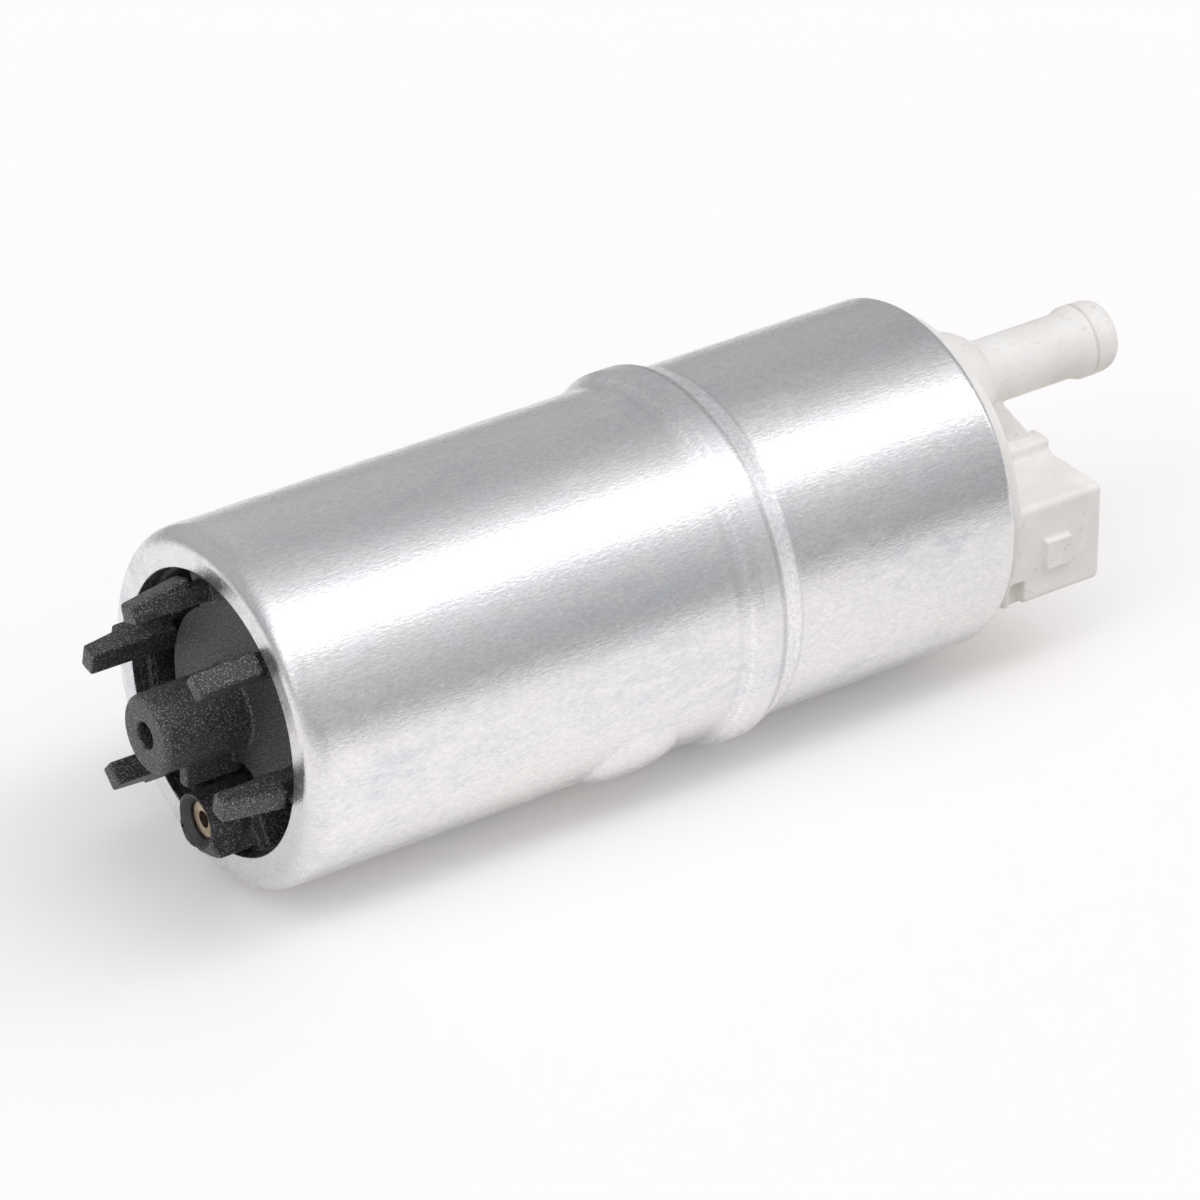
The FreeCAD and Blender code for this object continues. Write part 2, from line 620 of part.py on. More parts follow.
def build_inlet_cover():
    """Moulded inlet cover: centre post, five prongs, inlet port, web and relief valve cup."""
    front = station(dim.can_wall)
    ledge = station(dim.ledge_depth)
    tip = station(-dim.post_reach)
    tip_radius = dim.post_radius - dim.post_taper
    corner = dim.rim_round - dim.can_wall + dim.slip_gap
    groove = groove_limits(station(dim.inlet_seal_station))
    outline = [
        (tip, 0),
        (tip, tip_radius),
        (PLATEAU, dim.post_radius),
        (PLATEAU, PORT_EDGE),
        (ledge, PORT_EDGE),
        (ledge, RIM_OPENING),
        (front, RIM_OPENING),
        (front, SLIP - corner),
        (front + corner, SLIP),
        (groove[0], SLIP),
        (groove[0], groove[2]),
        (groove[1], groove[2]),
        (groove[1], SLIP),
        (COVER_BACK, SLIP),
        (COVER_BACK, 0),
    ]
    solid = turned(outline, [(dim.post_round, [(tip, tip_radius)])], name="CoverBody")
    floor = station(dim.port_depth)
    mouth = PLATEAU - OVER
    back = COVER_BACK + OVER
    journal_end = COVER_BACK - dim.journal_length - dim.journal_end_gap
    port_arc = (dim.port_start_angle, dim.port_sweep_angle)
    kidney_arc = (dim.kidney_start_angle, dim.kidney_sweep_angle)
    kidney_edge = KIDNEY_OUTER + dim.kidney_reach
    hollows = [
        arc_band(PORT_EDGE, PORT_EDGE - dim.port_width, mouth, floor, *port_arc, "Port"),
        arc_band(kidney_edge, KIDNEY_INNER, floor - dim.kidney_rise, back, *kidney_arc, "SuctionKidney"),
        pressure_kidney(COVER_BACK - dim.recess_depth, back),
        rod(dim.pilot_radius, tip - OVER, tip + dim.pilot_depth, name="PilotHole"),
        rod(journal_radius() + dim.run_gap, journal_end, back, name="JournalBore"),
    ]
    shell = cut(solid, hollows + relief_hollows() + slot_beside_web() + dowel_rods(), "CoverShell")
    prongs = [build_prong(step * PRONG_PITCH) for step in PRONG_STEPS]
    keep("inlet_cover", join([shell, build_web(), build_valve_boss()] + prongs, "InletCover"))


def groove_limits(middle):
    """Start, end and bottom radius of a seal's groove."""
    start = middle - dim.seal_groove / 2
    return start, start + dim.seal_groove, SLIP - dim.seal_section * 2


def journal_radius():
    """Radius of the shaft's front journal."""
    return dim.shaft_radius - dim.journal_step


def relief_hollows():
    """Bore and drillings of the relief valve."""
    y = dim.relief_side
    floor = station(dim.relief_depth)
    cross_x = station(dim.vent_depth)
    cross = doc.addObject("Part::Cylinder", "CrossDrilling")
    bind(cross, Radius=dim.vent_radius, Height=SLIP + RELIEF_RISE + OVER)
    outwards = about_x(dim.vent_angle) * Rotation(Vector(1, 0, 0), -90)
    put(cross, cross_x, *polar(-RELIEF_RISE, dim.vent_angle), outwards)
    return [
        rod(dim.relief_bore, station(-dim.relief_reach) - OVER, floor, y, RELIEF_RISE, "ReliefBore"),
        rod(dim.relief_seat_radius, floor - OVER, cross_x + dim.vent_radius, y, RELIEF_RISE, "ReliefSeat"),
        rod(dim.vent_radius, cross_x, COVER_BACK + OVER, *VENT, name="AxialVent"),
        cross,
    ]


def slot_beside_web():
    """Slot with a rounded end in the cover's front, between the web and the valve cup."""
    near = (dim.slot_near_side, -dim.slot_near_drop)
    far = (dim.slot_far_side, -dim.slot_far_drop)
    slope = math.atan2(far[1].value - near[1].value, far[0].value - near[0].value)
    aside = (dim.slot_half_width * -math.sin(slope), dim.slot_half_width * math.cos(slope))
    corners = [
        (near[0] + aside[0], near[1] + aside[1]),
        (far[0] + aside[0], far[1] + aside[1]),
        (far[0] - aside[0], far[1] - aside[1]),
        (near[0] - aside[0], near[1] - aside[1]),
    ]
    deep = dim.slot_depth + OVER
    return [
        prism("YZ_Plane", corners, deep, PLATEAU - OVER + deep / 2, name="Slot"),
        rod(dim.slot_half_width, PLATEAU - OVER, PLATEAU + dim.slot_depth, *near, name="SlotEnd"),
    ]


def build_web():
    """Flat web that stands under the centre post."""
    y = (dim.web_side, dim.web_side + dim.web_thickness)
    low = RELIEF_RISE + dim.relief_bore + dim.relief_wall + dim.web_gap
    return block((station(-dim.web_reach), PLATEAU + OVER), y, (low, OVER - dim.post_radius), "Web")


def build_valve_boss():
    """Round cup of the relief valve with the boss beside it, kept inside the port's edge."""
    y = dim.relief_side
    z = RELIEF_RISE
    front = station(-dim.relief_reach)
    back = PLATEAU + OVER
    cup_radius = dim.relief_bore + dim.relief_wall
    outline = [
        (y - dim.relief_bore, z - dim.skirt_root_drop),
        (y - dim.skirt_near_reach, z - dim.skirt_near_drop),
        (y - dim.skirt_near_reach, z - dim.skirt_drop),
        (y + dim.skirt_far_reach, z - dim.skirt_drop),
        (y + cup_radius, z),
    ]
    cup = rod(cup_radius, front, back, y, z, "ReliefCup")
    skirt = prism("YZ_Plane", outline, back - front, (front + back) / 2, name="ReliefSkirt")
    limit = rod(PORT_EDGE - dim.relief_inset, front - OVER, back + OVER)
    boss = meet(join([cup, skirt]), limit, "ReliefBoss")
    return cut(boss, [rod(dim.relief_bore, front - OVER, back + OVER, y, z)], "BoredBoss")


def build_prong(turn):
    """One prong that holds the strainer, with a sloping outer face."""
    tip = station(-dim.prong_reach)
    shoulder = station(0)
    root = station(dim.port_depth + dim.prong_sink)
    inner = PORT_EDGE - dim.prong_depth
    outer = PORT_EDGE - dim.prong_root_inset
    outline = [
        (tip, inner),
        (tip, PORT_EDGE - dim.prong_tip_inset),
        (shoulder, outer),
        (root, outer),
        (root, inner),
    ]
    return prism("XZ_Plane", outline, dim.prong_width, turn=dim.prong_angle + turn - 90, name="Prong")


def build_relief_valve():
    """Ball, spring and pressed retainer of the relief valve."""
    at = (dim.relief_side, RELIEF_RISE)
    retainer = station(dim.relief_recess - dim.relief_reach)
    retainer_back = retainer + dim.relief_retainer
    keep("relief_retainer", tube(dim.relief_bore, dim.relief_hole, retainer, retainer_back, *at, "Retainer"))
    seat = station(dim.relief_depth)
    middle = seat - leg(dim.relief_ball_radius, dim.relief_seat_radius) - dim.brush_touch
    ball = doc.addObject("Part::Sphere", "ReliefBall")
    bind(ball, Radius=dim.relief_ball_radius)
    keep("relief_ball", put(ball, middle, *at))
    touch = middle - leg(dim.relief_ball_radius + dim.relief_wire, dim.relief_coil) + dim.relief_wire
    ends = (retainer_back, touch - dim.run_gap)
    keep("relief_spring", coil(dim.relief_coil, dim.relief_wire, *ends, 5, *at, "ReliefSpring"))


def leg(long_side, short_side):
    """Third side of a triangle with a right angle, from its longest side and one other."""
    value = math.sqrt(long_side.value ** 2 - short_side.value ** 2)
    return Size(value, f"(({long_side.text})^2 - ({short_side.text})^2)^0.5")


def rotor_axis():
    """Y and Z of the outer rotor's axis."""
    return polar(ROTOR_EDGE * dim.eccentric_share, dim.eccentric_angle)


def build_pump_stack():
    """Pump ring, port plate, front bush and dowels."""
    through = (COVER_BACK - OVER, PLATE_END + OVER)
    rotor_bore = rod(ROTOR_EDGE + dim.run_gap, *through, *rotor_axis())
    ring_holes = [rotor_bore, rod(dim.vent_radius, *through, *VENT)]
    ring = rod(SLIP, COVER_BACK, RING_END)
    keep("pump_ring", cut(ring, ring_holes + dowel_rods(), "PumpRing"))

    bush_radius = dim.shaft_radius + dim.run_gap + dim.bush_wall
    bush_start = HUB_END - dim.bush_length
    hub = rod(bush_radius + dim.plate_hub_wall, RING_END, HUB_END)
    plate_holes = [
        pressure_kidney(*through),
        rod(dim.vent_radius, *through, *VENT),
        rod(dim.shaft_radius + dim.shaft_relief, RING_END - OVER, HUB_END + OVER),
        rod(bush_radius, bush_start, HUB_END + OVER),
    ]
    plate = join([rod(SLIP, RING_END, PLATE_END), hub])
    keep("port_plate", cut(plate, plate_holes + dowel_rods(), "PortPlate"))
    keep("front_bush", shaft_bush(bush_start))

    dowels = doc.addObject("Part::Compound", "DowelPins")
    dowels.Links = dowel_rods()
    keep("dowel_pins", dowels)


def shaft_bush(start):
    """One carbon bush that the shaft turns in."""
    inner = dim.shaft_radius + dim.run_gap
    return tube(inner + dim.bush_wall, inner, start, start + dim.bush_length, name="Bush")


def build_rotors():
    """Outer rotor with seven round teeth, and the inner rotor that meshes with it."""
    start = COVER_BACK + dim.rotor_side_gap
    end = RING_END - dim.rotor_side_gap
    axis = rotor_axis()
    circle = ROTOR_EDGE * dim.tooth_circle_share
    tooth = ROTOR_EDGE * dim.tooth_share
    root = circle - tooth + ROTOR_EDGE * dim.eccentric_share * 2 + dim.rotor_side_gap * 3
    teeth = []
    for index in range(OUTER_LOBES):
        y, z = polar(circle, dim.eccentric_angle + 180 + sized(360) * index / OUTER_LOBES)
        teeth.append(rod(tooth, start, end, axis[0] + y, axis[1] + z, "Tooth"))
    rim = tube(ROTOR_EDGE, root, start, end, *axis)
    limit = rod(ROTOR_EDGE, start, end, *axis)
    keep("outer_rotor", meet(join([rim] + teeth), limit, "OuterRotor"))

    lobed = doc.addObject("Part::Feature", "LobedProfile")
    lobed.Shape = lobed_prism(start.value, end.value)
    bore = cut(rod(dim.shaft_radius, start - OVER, end + OVER), [drive_flat(start - OVER, end + OVER)])
    keep("inner_rotor", cut(lobed, [bore], "InnerRotor"))


def drive_flat(start, end):
    """What the drive flat takes off the shaft."""
    wide = dim.shaft_radius * 2
    return block((start, end), (-wide, wide), (dim.shaft_radius - dim.flat_depth, wide), "DriveFlat")


def lobed_prism(start, end):
    """Prism of the curve that the outer rotor's round teeth leave as they roll round the inner rotor."""
    radius = ROTOR_EDGE.value
    circle = radius * dim.tooth_circle_share.value
    offset = radius * dim.eccentric_share.value
    tooth = radius * dim.tooth_share.value + dim.run_gap.value
    first = math.radians(dim.eccentric_angle.value + 180)
    samples = 40 * INNER_LOBES
    points = []
    for index in range(samples):
        turn = 2 * math.pi * index / samples
        across = math.sin(-INNER_LOBES * turn)
        along = circle / (offset * OUTER_LOBES) - math.cos(INNER_LOBES * turn)
        lean = turn + math.atan2(across, along)
        u = circle * math.cos(turn) - tooth * math.cos(lean) - offset * math.cos(OUTER_LOBES * turn)
        v = tooth * math.sin(lean) - circle * math.sin(turn) + offset * math.sin(OUTER_LOBES * turn)
        y = u * math.cos(first) - v * math.sin(first)
        z = u * math.sin(first) + v * math.cos(first)
        points.append(Vector(start, y, z))
    curve = Part.BSplineCurve()
    curve.interpolate(Points=points, PeriodicFlag=True)
    return Part.Face(Part.Wire([curve.toShape()])).extrude(Vector(end - start, 0, 0))


# Stations and radii that motor, magnets and outlet cap share.
BUSH_EDGE = dim.shaft_radius + dim.run_gap + dim.bush_wall
REAR_BUSH = before_rear(dim.rear_bush_setback)
SHAFT_END = REAR_BUSH + dim.bush_length
YOKE_INNER = SLIP - dim.yoke_wall
MAGNET_INNER = YOKE_INNER - dim.magnet_thickness
CORE_EDGE = MAGNET_INNER - dim.air_gap
CORE_START = HUB_END + dim.core_front_gap
CORE_END = before_rear(dim.core_setback)
WINDING_END = CORE_END + dim.winding_overhang
COMMUTATOR = WINDING_END + dim.commutator_gap
SEGMENTS = COMMUTATOR + dim.commutator_length
SEGMENTS_END = SEGMENTS + dim.segment_thickness
BRUSH_START = SEGMENTS_END + dim.brush_touch
BRUSH_END = BRUSH_START + dim.brush_length
BRUSH_HALF = dim.brush_side / 2
BRUSH_AXIS = BUSH_EDGE + dim.brush_bush_wall + BRUSH_HALF + dim.brush_gap
COMMUTATOR_EDGE = BRUSH_AXIS + BRUSH_HALF + dim.commutator_rim
CAP_START = before_rear(dim.cap_setback)
GUIDE_END = before_rear(dim.guide_end_setback)
SLOT_PITCH = 360 / ARMATURE_SLOTS


def build_armature():
    """Shaft, core, windings, sleeves, thrust washer and commutator."""
    shoulder = COVER_BACK + dim.rotor_side_gap
    front = COVER_BACK - dim.journal_length
    bar = join([rod(journal_radius(), front, shoulder), rod(dim.shaft_radius, shoulder, SHAFT_END)])
    flat = drive_flat(front - OVER, RING_END - dim.rotor_side_gap)
    keep("armature_shaft", cut(bar, [flat], "Shaft"))

    washer = HUB_END + dim.washer_gap
    washer_end = washer + dim.washer_thickness
    keep("thrust_washer", tube(dim.shaft_radius + dim.washer_wall, dim.shaft_radius, washer, washer_end))

    shoe_inner = CORE_EDGE - dim.shoe_thickness
    hub_radius = CORE_EDGE * dim.core_hub_share
    tooth_width = CORE_EDGE * dim.tooth_width_share
    turns = [sized(SLOT_PITCH) * index for index in range(ARMATURE_SLOTS)]
    ends = (CORE_START, CORE_END)
    past = (CORE_START - OVER, CORE_END + OVER)
    teeth = [spoke(ends, (0, shoe_inner + OVER / 2), tooth_width, turn, "CoreTooth") for turn in turns]
    through_shoe = (shoe_inner - OVER, CORE_EDGE + OVER)
    opening = dim.slot_opening
    mouths = [spoke(past, through_shoe, opening, turn + SLOT_PITCH / 2, "SlotMouth") for turn in turns]
    solid = join([rod(hub_radius, *ends), tube(CORE_EDGE, shoe_inner, *ends)] + teeth)
    keep("armature_core", cut(solid, mouths + [rod(dim.shaft_radius, *past)], "Core"))

    gap = dim.winding_gap
    bundle = tube(shoe_inner - gap, hub_radius + gap, CORE_START - dim.winding_overhang, WINDING_END)
    room = (CORE_START - gap, CORE_END + gap)
    wide = tooth_width + gap * 2
    clear = [spoke(room, (0, shoe_inner + OVER), wide, turn, "ToothRoom") for turn in turns]
    keep("armature_windings", cut(bundle, clear, "Windings"))

    sleeves = doc.addObject("Part::Compound", "Sleeves")
    sleeves.Links = [
        tube(hub_radius + gap, dim.shaft_radius, washer_end, CORE_START),
        tube(hub_radius + gap, dim.shaft_radius, CORE_END, COMMUTATOR),
    ]
    keep("insulating_sleeves", sleeves)
    keep("commutator_base", tube(COMMUTATOR_EDGE, dim.shaft_radius, COMMUTATOR, SEGMENTS))

    rim = COMMUTATOR_EDGE - dim.segment_inset
    disc = tube(rim, rim - dim.segment_width, SEGMENTS, SEGMENTS_END)
    past = (SEGMENTS - OVER, SEGMENTS_END + OVER)
    wide = (0, rim + OVER)
    gaps = [spoke(past, wide, dim.segment_gap, turn + SLOT_PITCH / 2, "SegmentGap") for turn in turns]
    keep("commutator_segments", cut(disc, gaps, "Segments"))


def build_field():
    """Flux ring, two arc magnets and the clips that spread them."""
    keep("flux_ring", tube(SLIP, YOKE_INNER, PLATE_END, CAP_START, name="FluxRing"))
    start = CORE_START - dim.magnet_overhang
    end = CORE_END + dim.magnet_overhang
    sweep = dim.magnet_sweep_angle
    for node, middle in (("magnet_upper", 90), ("magnet_lower", 270)):
        keep(node, arc_band(YOKE_INNER, MAGNET_INNER, start, end, sized(middle) - sweep / 2, sweep, "Magnet"))
    opening = sized(180) - sweep
    leg_angle = dim.clip_sheet / YOKE_INNER * math.degrees(1)
    for node, middle in (("magnet_clip_left", 180), ("magnet_clip_right", 0)):
        low = sized(middle) - opening / 2
        outside = arc_band(YOKE_INNER, YOKE_INNER - dim.clip_depth, start, end, low, opening)
        arc = (low + leg_angle, opening - leg_angle * 2)
        hollow = wedge_rod(YOKE_INNER - dim.clip_sheet, start - OVER, end + OVER, *arc)
        keep(node, cut(outside, [hollow], "MagnetClip"))


# Stations and places that the outlet cap shares with the pieces in it.
CAP_FACE = behind_rear(dim.cap_face_reach)
CAP_FLOOR = before_rear(dim.cap_floor_setback)
NIPPLE_AXIS = (dim.nipple_side, SLIP - dim.nipple_inset)
CHAMBER_END = behind_rear(dim.chamber_reach)
SEAT_END = before_rear(dim.seat_setback) + dim.seat_length
SOCKET_NEAR = -(SLIP - dim.socket_inset)
SOCKET_MOUTH = CAP_FACE + dim.socket_reach
RIDGE_RISE = dim.socket_high + dim.ridge_rise


def brush_bar(ends, side, grow):
    """Square bar along X on one brush axis, grown by a gap on each side."""
    half = BRUSH_HALF + grow
    middle = BRUSH_AXIS * side
    return block(ends, (middle - half, middle + half), (-half, half), "BrushBar")


def build_outlet_cap():
    """Moulded outlet cap: nipple, connector, brush guides and bearing tower."""
    shoulder = before_rear(dim.can_wall)
    disc = dim.can_radius - dim.rear_lip - dim.cap_disc_gap
    cavity = SLIP - dim.cap_skirt
    groove = groove_limits(before_rear(dim.outlet_seal_setback))
    outline = [
        (CAP_START, cavity),
        (CAP_START, SLIP),
        (groove[0], SLIP),
        (groove[0], groove[2]),
        (groove[1], groove[2]),
        (groove[1], SLIP),
        (shoulder, SLIP),
        (shoulder, disc),
        (CAP_FACE, disc),
        (CAP_FACE, 0),
        (CAP_FLOOR, 0),
        (CAP_FLOOR, cavity),
    ]
    tower = rod(BUSH_EDGE + dim.tower_wall, REAR_BUSH - dim.tower_lip, CAP_FLOOR + OVER, name="Tower")
    guide = (SEGMENTS_END + dim.guide_gap, CAP_FLOOR + OVER)
    guides = [brush_bar(guide, side, dim.guide_wall) for side in (1, -1)]
    solids = [turned(outline, name="CapShell"), tower] + guides + nipple_solids() + connector_solids()
    bores = [brush_bar((guide[0] - OVER, GUIDE_END), side, dim.brush_gap) for side in (1, -1)]
    pocket = dim.shaft_radius + dim.shaft_pocket_gap
    hollows = bores + [
        rod(BUSH_EDGE, REAR_BUSH - dim.tower_lip - OVER, SHAFT_END, name="BushPocket"),
        rod(pocket, SHAFT_END - OVER, SHAFT_END + dim.shaft_pocket_depth, name="ShaftPocket"),
        rod(dim.chamber_radius, CAP_FLOOR - OVER, CHAMBER_END, *NIPPLE_AXIS, "ValveChamber"),
        rod(dim.nipple_bore, CHAMBER_END - OVER, nipple_tip() + OVER, *NIPPLE_AXIS, "NippleBore"),
    ]
    hollows += connector_hollows() + [terminal(side) for side in (-1, 1)]
    keep("outlet_cap", cut(join(solids), hollows, "OutletCap"))


def nipple_tip():
    """Station of the nipple's tip."""
    foot = dim.foot_length + dim.cone_length + dim.cone_blend
    barb = dim.barb_ramp + dim.barb_crest + dim.barb_nose
    return CAP_FACE + foot + dim.neck_length + barb


def nipple_solids():
    """Hose nipple with its foot, cone, straight neck and barb."""
    neck = dim.nipple_radius
    foot = neck + dim.foot_swell
    foot_end = CAP_FACE + dim.foot_length
    cone_end = foot_end + dim.cone_length
    neck_start = cone_end + dim.cone_blend
    neck_end = neck_start + dim.neck_length
    crest_start = neck_end + dim.barb_ramp
    crest_end = crest_start + dim.barb_crest
    tip = crest_end + dim.barb_nose
    outline = [
        (CAP_FACE - OVER, 0),
        (CAP_FACE - OVER, foot),
        (CAP_FACE, foot),
        (foot_end, foot - dim.foot_taper),
        (cone_end, neck + dim.cone_swell),
        (neck_start, neck),
        (neck_end, neck),
        (crest_start, neck + dim.barb_swell),
        (crest_end, neck + dim.barb_swell),
        (tip, neck - dim.tip_inset),
        (tip, 0),
    ]
    return [turned(outline, [(dim.tip_round, [(tip, neck - dim.tip_inset)])], *NIPPLE_AXIS, "Nipple")]


def connector_solids():
    """Box of the plug socket with its neck, catch, ridge and gusset."""
    ends = (CAP_FACE - OVER, SOCKET_MOUTH)
    box = block(ends, (SOCKET_NEAR, dim.socket_far), (dim.socket_low, dim.socket_high), "Connector")
    neck_y = (SOCKET_NEAR + dim.notch_depth, dim.neck_far)
    neck = block((CAP_FACE - OVER, CAP_FACE + dim.socket_floor), neck_y, (dim.neck_low, 0), "ConnectorNeck")
    ridge = rod(dim.ridge_radius, *ends, dim.socket_far - dim.ridge_radius, RIDGE_RISE, "Ridge")
    top = NIPPLE_AXIS[1] - dim.gusset_drop
    corner = CAP_FACE + dim.gusset_corner
    low_end = CAP_FACE + dim.gusset_reach
    gusset_outline = [
        (CAP_FACE - OVER, RIDGE_RISE),
        (CAP_FACE - OVER, top),
        (corner, top - dim.gusset_slope),
        (low_end, RIDGE_RISE + dim.ridge_radius),
        (low_end, RIDGE_RISE),
    ]
    gusset_y = dim.socket_far - dim.gusset_thickness / 2
    gusset = prism("XZ_Plane", gusset_outline, dim.gusset_thickness, gusset_y, name="Gusset")
    root = SOCKET_NEAR + dim.catch_sink
    proud = SOCKET_NEAR - dim.catch_proud
    catch_outline = [
        (root, dim.catch_low),
        (proud, dim.catch_low + dim.catch_slope),
        (proud, dim.catch_low + dim.catch_height),
        (root, dim.catch_low + dim.catch_height),
    ]
    catch_middle = CAP_FACE + dim.catch_start + dim.catch_length / 2
    catch = prism("YZ_Plane", catch_outline, dim.catch_length, catch_middle, name="Catch")
    return [box, neck, ridge, gusset, catch]


def connector_hollows():
    """Socket for the plug, and the notch beside the connector's foot."""
    socket_y = (SOCKET_NEAR + dim.socket_wall, dim.socket_far - dim.socket_far_wall)
    socket_z = (dim.socket_low + dim.socket_wall, dim.socket_high - dim.socket_wall)
    notch_y = (SOCKET_NEAR - OVER, SOCKET_NEAR + dim.notch_depth)
    notch_z = (dim.socket_low - OVER, dim.notch_top)
    return [
        block((CAP_FACE + dim.socket_floor, SOCKET_MOUTH + OVER), socket_y, socket_z, "Socket"),
        block((CAP_FACE, CAP_FACE + dim.notch_length), notch_y, notch_z, "Notch"),
    ]


def terminal(side):
    """One terminal: blade in the connector and strap to the seat of a brush spring."""
    socket_middle = (SOCKET_NEAR + dim.socket_wall + dim.socket_far - dim.socket_far_wall) / 2
    height = (dim.socket_low + dim.socket_high) / 2 - dim.blade_pitch / 2 * side
    low = height - dim.blade_width / 2
    high = height + dim.blade_width / 2
    half = dim.blade_thickness / 2
    strap = (GUIDE_END, GUIDE_END + dim.strap_thickness)
    brush = (BRUSH_AXIS * side - BRUSH_HALF, BRUSH_AXIS * side + BRUSH_HALF)
    blade = (socket_middle - half, socket_middle + half)
    return join([
        block((GUIDE_END, SOCKET_MOUTH - dim.blade_setback), blade, (low, high), "Blade"),
        block(strap, (blade[0], brush[1]), (low, high), "Strap"),
        block(strap, brush, (low, BRUSH_HALF), "SpringSeat"),
    ], "Terminal")


def build_cap_pieces():
    """Seals, rear bush, terminals, and brushes with their springs and leads."""
    grooves = (station(dim.inlet_seal_station), before_rear(dim.outlet_seal_setback))
    for node, place in zip(("inlet_seal", "outlet_seal"), grooves):
        ring = doc.addObject("Part::Torus", "Seal")
        bind(ring, Radius1=SLIP - dim.seal_section, Radius2=dim.seal_section)
        keep(node, put(ring, place, 0, 0, ALONG_X))
    keep("rear_bush", shaft_bush(REAR_BUSH))
    for name, side in (("left", -1), ("right", 1)):
        at = (BRUSH_AXIS * side, 0)
        keep("brush_" + name, brush_bar((BRUSH_START, BRUSH_END), side, 0))
        keep("brush_spring_" + name, coil(dim.brush_coil, dim.brush_wire, BRUSH_END, GUIDE_END, 8, *at))
        keep("brush_lead_" + name, rod(dim.lead_radius, BRUSH_END, GUIDE_END, *at, "BrushLead"))
        keep("terminal_" + name, terminal(side))


def build_check_valve():
    """Seat ring, poppet and spring of the outlet's check valve."""
    seat = before_rear(dim.seat_setback)
    keep("check_seat", tube(dim.chamber_radius, dim.seat_bore, seat, SEAT_END, *NIPPLE_AXIS, "CheckSeat"))
    nose = dim.seat_bore - dim.poppet_nose_gap
    head = dim.chamber_radius - dim.poppet_gap
    head_end = SEAT_END + dim.poppet_head
    stem_end = head_end + dim.poppet_stem_length
    outline = [
        (SEAT_END - dim.poppet_nose_length, 0),
        (SEAT_END - dim.poppet_nose_length, nose - dim.poppet_nose_taper),
        (SEAT_END, nose),
        (SEAT_END, head),
        (head_end, head),
        (head_end, dim.poppet_stem),
        (stem_end, dim.poppet_stem),
        (stem_end, 0),
    ]
    keep("check_poppet", turned(outline, (), *NIPPLE_AXIS, "Poppet"))
    spring = coil(dim.check_coil, dim.check_wire, head_end, CHAMBER_END, 5, *NIPPLE_AXIS, "CheckSpring")
    keep("check_spring", spring)


def check_and_write():
    """Recomputes, checks every object and writes each sub-part."""
    doc.recompute()
    for obj in doc.Objects:
        if "Invalid" in obj.State or "Error" in obj.State:
            raise RuntimeError(f"{obj.Name} ({obj.Label}) failed: {obj.State}")
    os.makedirs("parts", exist_ok=True)
    for piece in pieces:
        shape = piece.Shape
        if shape.isNull() or not shape.isValid() or not shape.Solids:
            raise RuntimeError(f"{piece.Label} has no valid solid")
        shape.exportStep(f"parts/{piece.Label}.step")
        box = shape.BoundBox
        print(f"{piece.Label:22s} {len(shape.Solids)} solid(s) {shape.Volume:9.1f} mm3  "
              f"x {box.XMin:7.2f} {box.XMax:7.2f}  y {box.YMin:6.2f} {box.YMax:6.2f}  "
              f"z {box.ZMin:6.2f} {box.ZMax:6.2f}")


build_can()
build_inlet_cover()
build_relief_valve()
build_pump_stack()
build_rotors()
build_armature()
build_field()
build_outlet_cap()
build_cap_pieces()
build_check_valve()
check_and_write()
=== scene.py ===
import itertools
import math

import bpy
import numpy as np
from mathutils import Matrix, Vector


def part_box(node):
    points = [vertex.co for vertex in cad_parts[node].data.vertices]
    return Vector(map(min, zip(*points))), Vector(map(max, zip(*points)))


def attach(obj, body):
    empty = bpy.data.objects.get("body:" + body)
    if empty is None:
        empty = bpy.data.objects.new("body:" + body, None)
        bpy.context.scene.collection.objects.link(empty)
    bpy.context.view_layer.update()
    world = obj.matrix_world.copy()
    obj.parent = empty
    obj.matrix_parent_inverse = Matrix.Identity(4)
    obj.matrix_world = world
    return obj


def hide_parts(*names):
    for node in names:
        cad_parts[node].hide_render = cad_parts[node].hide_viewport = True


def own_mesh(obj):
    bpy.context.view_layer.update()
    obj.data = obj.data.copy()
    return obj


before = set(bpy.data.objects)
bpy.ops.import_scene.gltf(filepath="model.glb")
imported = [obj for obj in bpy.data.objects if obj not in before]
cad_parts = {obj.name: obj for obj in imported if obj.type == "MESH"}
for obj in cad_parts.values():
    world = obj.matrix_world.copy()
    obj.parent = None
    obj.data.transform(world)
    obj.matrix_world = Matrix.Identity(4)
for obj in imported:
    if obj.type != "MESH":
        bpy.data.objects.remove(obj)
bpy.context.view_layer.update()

# Camera: a long lens to the front left of the pump and above it, at the photograph's angle.
camera = bpy.data.objects.new("Camera", bpy.data.cameras.new("Camera"))
bpy.context.collection.objects.link(camera)
bpy.context.scene.camera = camera
camera.location = (-0.45374, -0.60806, 0.42675)
camera.rotation_euler = (math.radians(90 - 30.08), 0, math.radians(-34.97))
camera.data.sensor_width = 36
camera.data.lens = 221.8


# Studio: a white tent, open and greyer towards the horizon, over a pale table.
# The tent is the only light. Its brightness changes with the direction round the pump's axis.
def linear(colour):
    """sRGB hex colour as linear red, green, blue and an alpha of one."""
    parts = [int(colour[i:i + 2], 16) / 255 for i in (1, 3, 5)]
    return [c / 12.92 if c <= 0.04045 else ((c + 0.055) / 1.055) ** 2.4 for c in parts] + [1.0]


